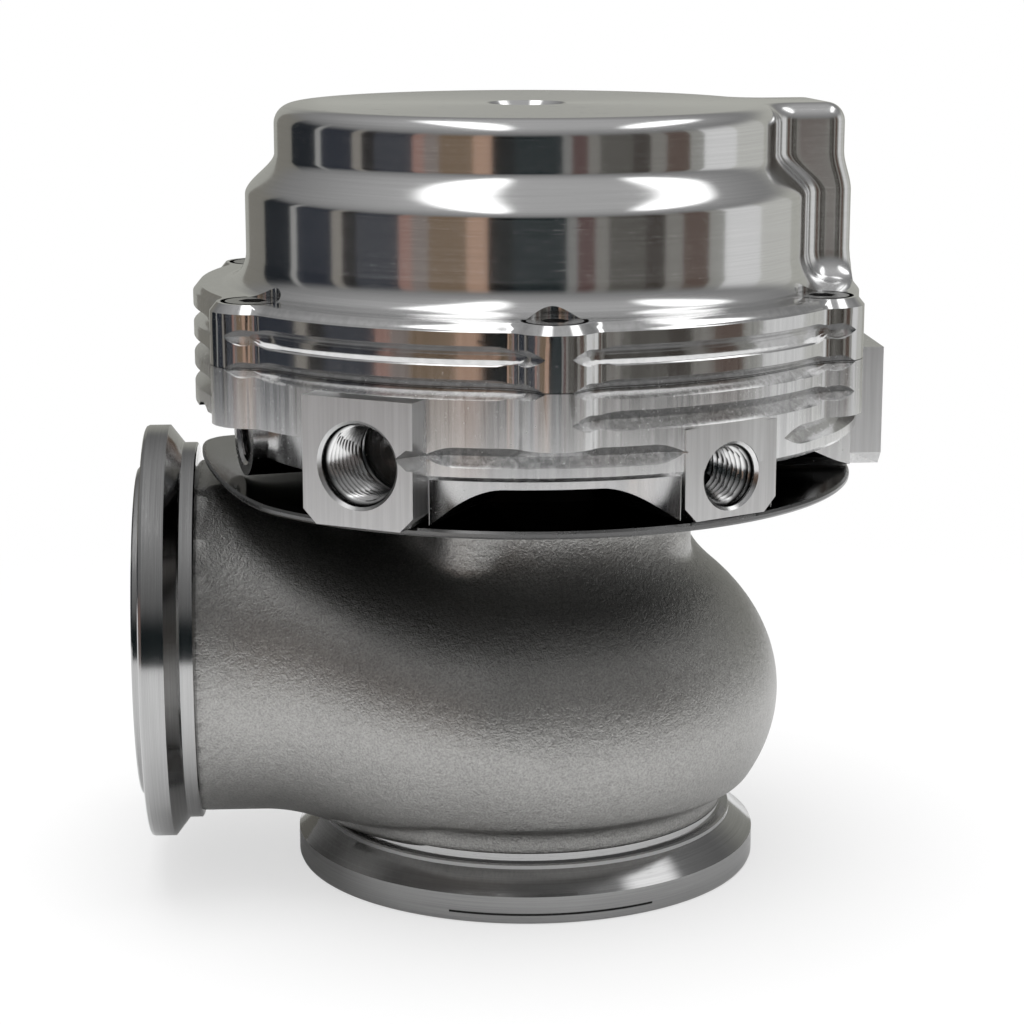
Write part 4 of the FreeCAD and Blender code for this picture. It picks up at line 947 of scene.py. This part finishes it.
def mark_blocks(mesh):
    """Gives the second finish to the faces of three port blocks that stand outside the wall, and the third, a
    dark grey of painted shade, to what lies in the gap under the hub."""
    centre = np.empty(len(mesh.polygons) * 3)
    mesh.polygons.foreach_get("center", centre)
    centre = centre.reshape(-1, 3)
    marked = np.zeros(len(centre), bool)
    reach = np.hypot(centre[:, 0], centre[:, 1])
    # Faces under the hub take a dark grey: painted shade.
    shaded = (centre[:, 2] < HUB_LOW + FACE_MARGIN) & (reach < HUB_SHADE_R)
    for name in ("front_air_port", "rear_air_port", "front_water_port"):
        port = MOUNTS[name]
        at, out = np.array(port["pos_m"]), np.array(port["axis"])
        away = centre - at
        along = away @ out
        beside = away @ np.array([-out[1], out[0], 0.0])
        mouth = port["dims"]["length_mm"] * MM / 2 + PORT_RIM
        hole = np.hypot(beside, away[:, 2]) < port["dims"]["r_mm"] * MM + PORT_MARGIN
        outside = (along > mouth) | (centre @ out > WALL_R + WALL_MARGIN)
        marked |= outside & (np.abs(beside) < BLOCK_HALF) & (away[:, 2] < BLOCK_ABOVE_PORT) & ~hole
    finish_of_face = np.where(marked, 1, np.where(shaded, 2, 0)).astype(np.int32)
    mesh.polygons.foreach_set("material_index", finish_of_face)


def make_base():
    """The CAD node with the top of its rear port block made whole where grooves cross it, and its threads."""
    base = copy_of_node("lower_housing", "actuator_base")
    port = MOUNTS["rear_air_port"]
    at, out = Vector(port["pos_m"]), Vector(port["axis"])
    low = (REAR_BLOCK_ROOT, -REAR_BLOCK_HALF, REAR_BLOCK_FILL_Z)
    high = (REAR_BLOCK_FACE, REAR_BLOCK_HALF, REAR_BLOCK_TOP)
    combine(base, [box_between("block_top", low, high)], "UNION")
    hole = cylinder_along("port", at, out, port["dims"]["r_mm"] * MM, TOOL_LENGTH)
    combine(base, [hole], "DIFFERENCE")
    dress(base, MILLED_BASE, "housing", ["lower_housing"])
    base.data.materials.append(MILLED_BLOCK)
    base.data.materials.append(HUB_PAINTED_SHADE)
    mark_blocks(base.data)
    for name in ("front_air_port", "rear_air_port", "front_water_port", "side_water_port"):
        make_thread(name + "_thread", MOUNTS[name])


# ---- materials ----
POLISHED_CAP = turned_metal("polished_cap", grey(238), grey(228), 0.13, 90.0, spread=0.8)
MILLED_CAP = milled_metal("milled_cap", grey(236), grey(222), 0.10, ripples=3.5e-5)
MILLED_BASE = milled_metal("milled_base", grey(226), grey(196), 0.17, 0.9)
# Dark grey for the faces in the gap under the hub: painted shade.
HUB_PAINTED_SHADE = plain_metal("shaded_hub", grey(46), 0.4)
MILLED_BLOCK = milled_metal("milled_block", grey(208), grey(190), 0.30)
# Threads with a painted highlight on the crests and painted shade in the roots.
PAINTED_LIGHT_THREAD = thread_metal("turned_thread")
TURNED_INLET = turned_metal("turned_inlet_flange", grey(172), grey(150), 0.10, 120.0, mark=True)
TURNED_OUTLET = turned_metal("turned_outlet_flange", grey(185), grey(160), 0.12, 120.0, axis="X")
# Shield steel painted dark as shade.
SHIELD_PAINTED_SHADE = painted_shade_shield("darkened_shield")
CAST_STEEL = cast_metal("blasted_casting")

SPRING_WIRE = plain_metal("spring_wire", grey(130), 0.4)
DIAPHRAGM_RUBBER = moulded_rubber("diaphragm_rubber")

CARRIED = {
    "valve_seat": plain_metal("ground_seat", grey(185), 0.25),
    "valve_guide": plain_metal("guide_bronze", grey(190, BRONZE_TINT), 0.3),
    "rod_bushing": plain_metal("bushing_bronze", grey(190, BRONZE_TINT), 0.3),
    "rod_seal": moulded_rubber("seal_rubber"),
    "seal_clip": plain_metal("clip_steel", grey(110), 0.35),
    "body_screws": plain_metal("black_screws", grey(90), 0.35),
    "lock_washers": plain_metal("washer_steel", grey(120), 0.35),
    "cap_screws": plain_metal("bright_screws", grey(180), 0.25),
    "valve": plain_metal("ground_valve", grey(175), 0.22),
    "diaphragm_plate": plain_metal("plate_aluminium", grey(210), 0.3),
    "piston": plain_metal("piston_aluminium", grey(210), 0.3),
    "stem_washer": plain_metal("stem_washer_steel", grey(150), 0.3),
    "stem_nut": plain_metal("nut_steel", grey(140), 0.3),
}


# ---- stage ----
WHITE = (1.0, 1.0, 1.0, 1.0)
EVEN_LIGHT = (0.62, 0.62, 0.62, 1.0)
PANEL_LIGHT = (1.9, 1.9, 1.9, 1.0)
# Centre and half sizes of the ceiling panels, by the slope of the ray that meets them.
LEFT_PANEL = ((-0.27, -0.15), (0.16, 0.62))
RIGHT_PANEL = ((0.72, 0.05), (0.19, 0.55))
TABLE_R = 0.36
TABLE_LIFT = 0.62
TABLE_FADE = (0.12 * TABLE_R, 0.6 * TABLE_R)
TABLE_COLOUR = (0.94, 0.94, 0.94, 1.0)
TABLE_STEPS = 128
# Bearing in degrees where each upright band of the room begins, 0 towards -Y and 90 towards +X, and its
# display colour.
ROOM_BANDS = (
    (-180, (158, 158, 152)), (-161, (120, 118, 112)), (-137, (36, 39, 43)), (-115, (150, 150, 148)),
    (-110, (46, 49, 56)), (-89, (130, 126, 120)), (-84, (40, 38, 38)), (-77, (60, 62, 67)),
    (-57, (140, 112, 104)), (-52, (120, 112, 108)), (-44, (112, 96, 80)), (-29, (162, 134, 116)),
    (-21, (15, 18, 18)), (-10, (32, 39, 41)), (11, (120, 120, 118)), (15, (84, 66, 64)),
    (22, (118, 116, 112)), (27, (82, 80, 76)), (43, (62, 58, 54)), (51, (120, 118, 114)),
    (60, (88, 76, 70)), (73, (140, 140, 136)), (81, (208, 208, 208)), (104, (186, 186, 182)),
    (130, (168, 168, 162)),
)


def ceiling_lamp(u, v, centre, half):
    """Soft-edged oval panel overhead: 1 near its centre, falling to 0 past its half sizes."""
    away = ((u - centre[0]) / half[0]) ** 2 + ((v - centre[1]) / half[1]) ** 2
    return away.ramp(0.3, 1.6, 1.0, 0.0)


def set_world():
    """White to the camera. Metal sees a studio: upright bands of a room at eye level, a grey ceiling and
    two soft panels in it, joined over ranges of the ray's rise in degrees. Everything else is lit by an
    even level."""
    world = bpy.data.worlds.new("studio")
    bpy.context.scene.world = world
    world.use_nodes = True
    shade = Shade(world.node_tree)
    way = shade.node("ShaderNodeTexCoord").outputs["Generated"]
    split = shade.node("ShaderNodeSeparateXYZ", inputs={"Vector": way})
    x, y, z = [Value(shade, split.outputs[axis]) for axis in "XYZ"]
    round_about = shade.math("ARCTAN2", x, y * -1.0) / TAU + 0.5
    rise = shade.math("ARCSINE", z) * (180 / math.pi)
    stops = [((angle + 180) / 360, display_rgb(colour)) for angle, colour in ROOM_BANDS]
    bands = shade.node("ShaderNodeValToRGB", {"stops": stops}, {"Fac": round_about}).outputs["Color"]
    ceiling = shade.mixed(rise.ramp(18, 70), grey(120), grey(168))
    room = shade.mixed(rise.ramp(12, 30), bands, ceiling)
    u, v = x / z, y / z
    panels = ceiling_lamp(u, v, *LEFT_PANEL) + ceiling_lamp(u, v, *RIGHT_PANEL)
    lit = panels * rise.ramp(20, 34)
    seen = shade.mixed(lit, room, PANEL_LIGHT)
    rays = shade.node("ShaderNodeLightPath")
    camera_ray = Value(shade, rays.outputs["Is Camera Ray"])
    glossy_ray = Value(shade, rays.outputs["Is Glossy Ray"])
    colour = shade.mixed(glossy_ray, EVEN_LIGHT, seen)
    colour = shade.mixed(camera_ray, colour, WHITE)
    background = shade.node("ShaderNodeBackground", None, {"Color": colour})
    shade.node("ShaderNodeOutputWorld", None, {"Surface": background.outputs[0]})


def make_floor():
    """Round pale table top, lifted towards white for the camera alone, that fades into the background."""
    turn = np.linspace(0, TAU, TABLE_STEPS, endpoint=False)
    points = np.column_stack([TABLE_R * np.cos(turn), TABLE_R * np.sin(turn), np.zeros(TABLE_STEPS)])
    floor = add_piece("floor", points, [list(range(TABLE_STEPS))])
    shade = new_shade("floor_white")
    x, y, _ = shade.coordinates()
    matt = shade.node("ShaderNodeBsdfDiffuse", None, {"Color": TABLE_COLOUR})
    glow = shade.node("ShaderNodeEmission", None, {"Color": WHITE})
    clear = shade.node("ShaderNodeBsdfTransparent")
    rays = shade.node("ShaderNodeLightPath")
    camera_ray = Value(shade, rays.outputs["Is Camera Ray"])
    lift = TABLE_LIFT * camera_ray
    fade = shade.reach(x, y).ramp(*TABLE_FADE) * camera_ray
    pale = shade.node("ShaderNodeMixShader", None, {0: lift, 1: matt.outputs[0], 2: glow.outputs[0]})
    mix = shade.node("ShaderNodeMixShader", None, {0: fade, 1: pale.outputs[0], 2: clear.outputs[0]})
    shade.node("ShaderNodeOutputMaterial", None, {"Surface": mix.outputs[0]})
    floor.data.materials.append(shade.material)


def add_lamp(name, at, aim, size, watts):
    """Disc lamp that points from one place to another."""
    light = bpy.data.lights.new(name, "AREA")
    light.shape = "DISK"
    light.size = size
    light.energy = watts
    lamp = bpy.data.objects.new(name, light)
    lamp.location = at
    lamp.rotation_euler = (Vector(aim) - Vector(at)).to_track_quat("-Z", "Y").to_euler()
    bpy.context.scene.collection.objects.link(lamp)
    return lamp


def set_lights():
    """One broad lamp overhead for the floor's soft shadow. Metal doesn't mirror it."""
    overhead = add_lamp("overhead", (0.0, -0.05, 0.9), (0, 0, 0.03), 0.7, 6.0)
    overhead.visible_glossy = False


def set_camera():
    """Camera in front and a little above the cap, looking slightly down, without roll."""
    camera = bpy.data.cameras.new("camera")
    camera.lens = CAMERA_LENS
    camera.clip_start = 0.01
    seen_from = bpy.data.objects.new("camera", camera)
    seen_from.location = CAMERA_AT
    look = (Vector(CAMERA_AIM) - Vector(CAMERA_AT)).to_track_quat("-Z", "Y")
    seen_from.rotation_euler = look.to_euler()
    bpy.context.scene.collection.objects.link(seen_from)
    bpy.context.scene.camera = seen_from


set_camera()
set_world()
set_lights()
make_floor()
bpy.context.scene.view_settings.view_transform = "Standard"
make_cap()
make_casting()
make_flanges()
make_shield()
make_base()
for node, coil in SPRINGS.items():
    make_spring(node, *coil)
make_diaphragm()
for node, material in CARRIED.items():
    dress(frame["nodes"][node], material)
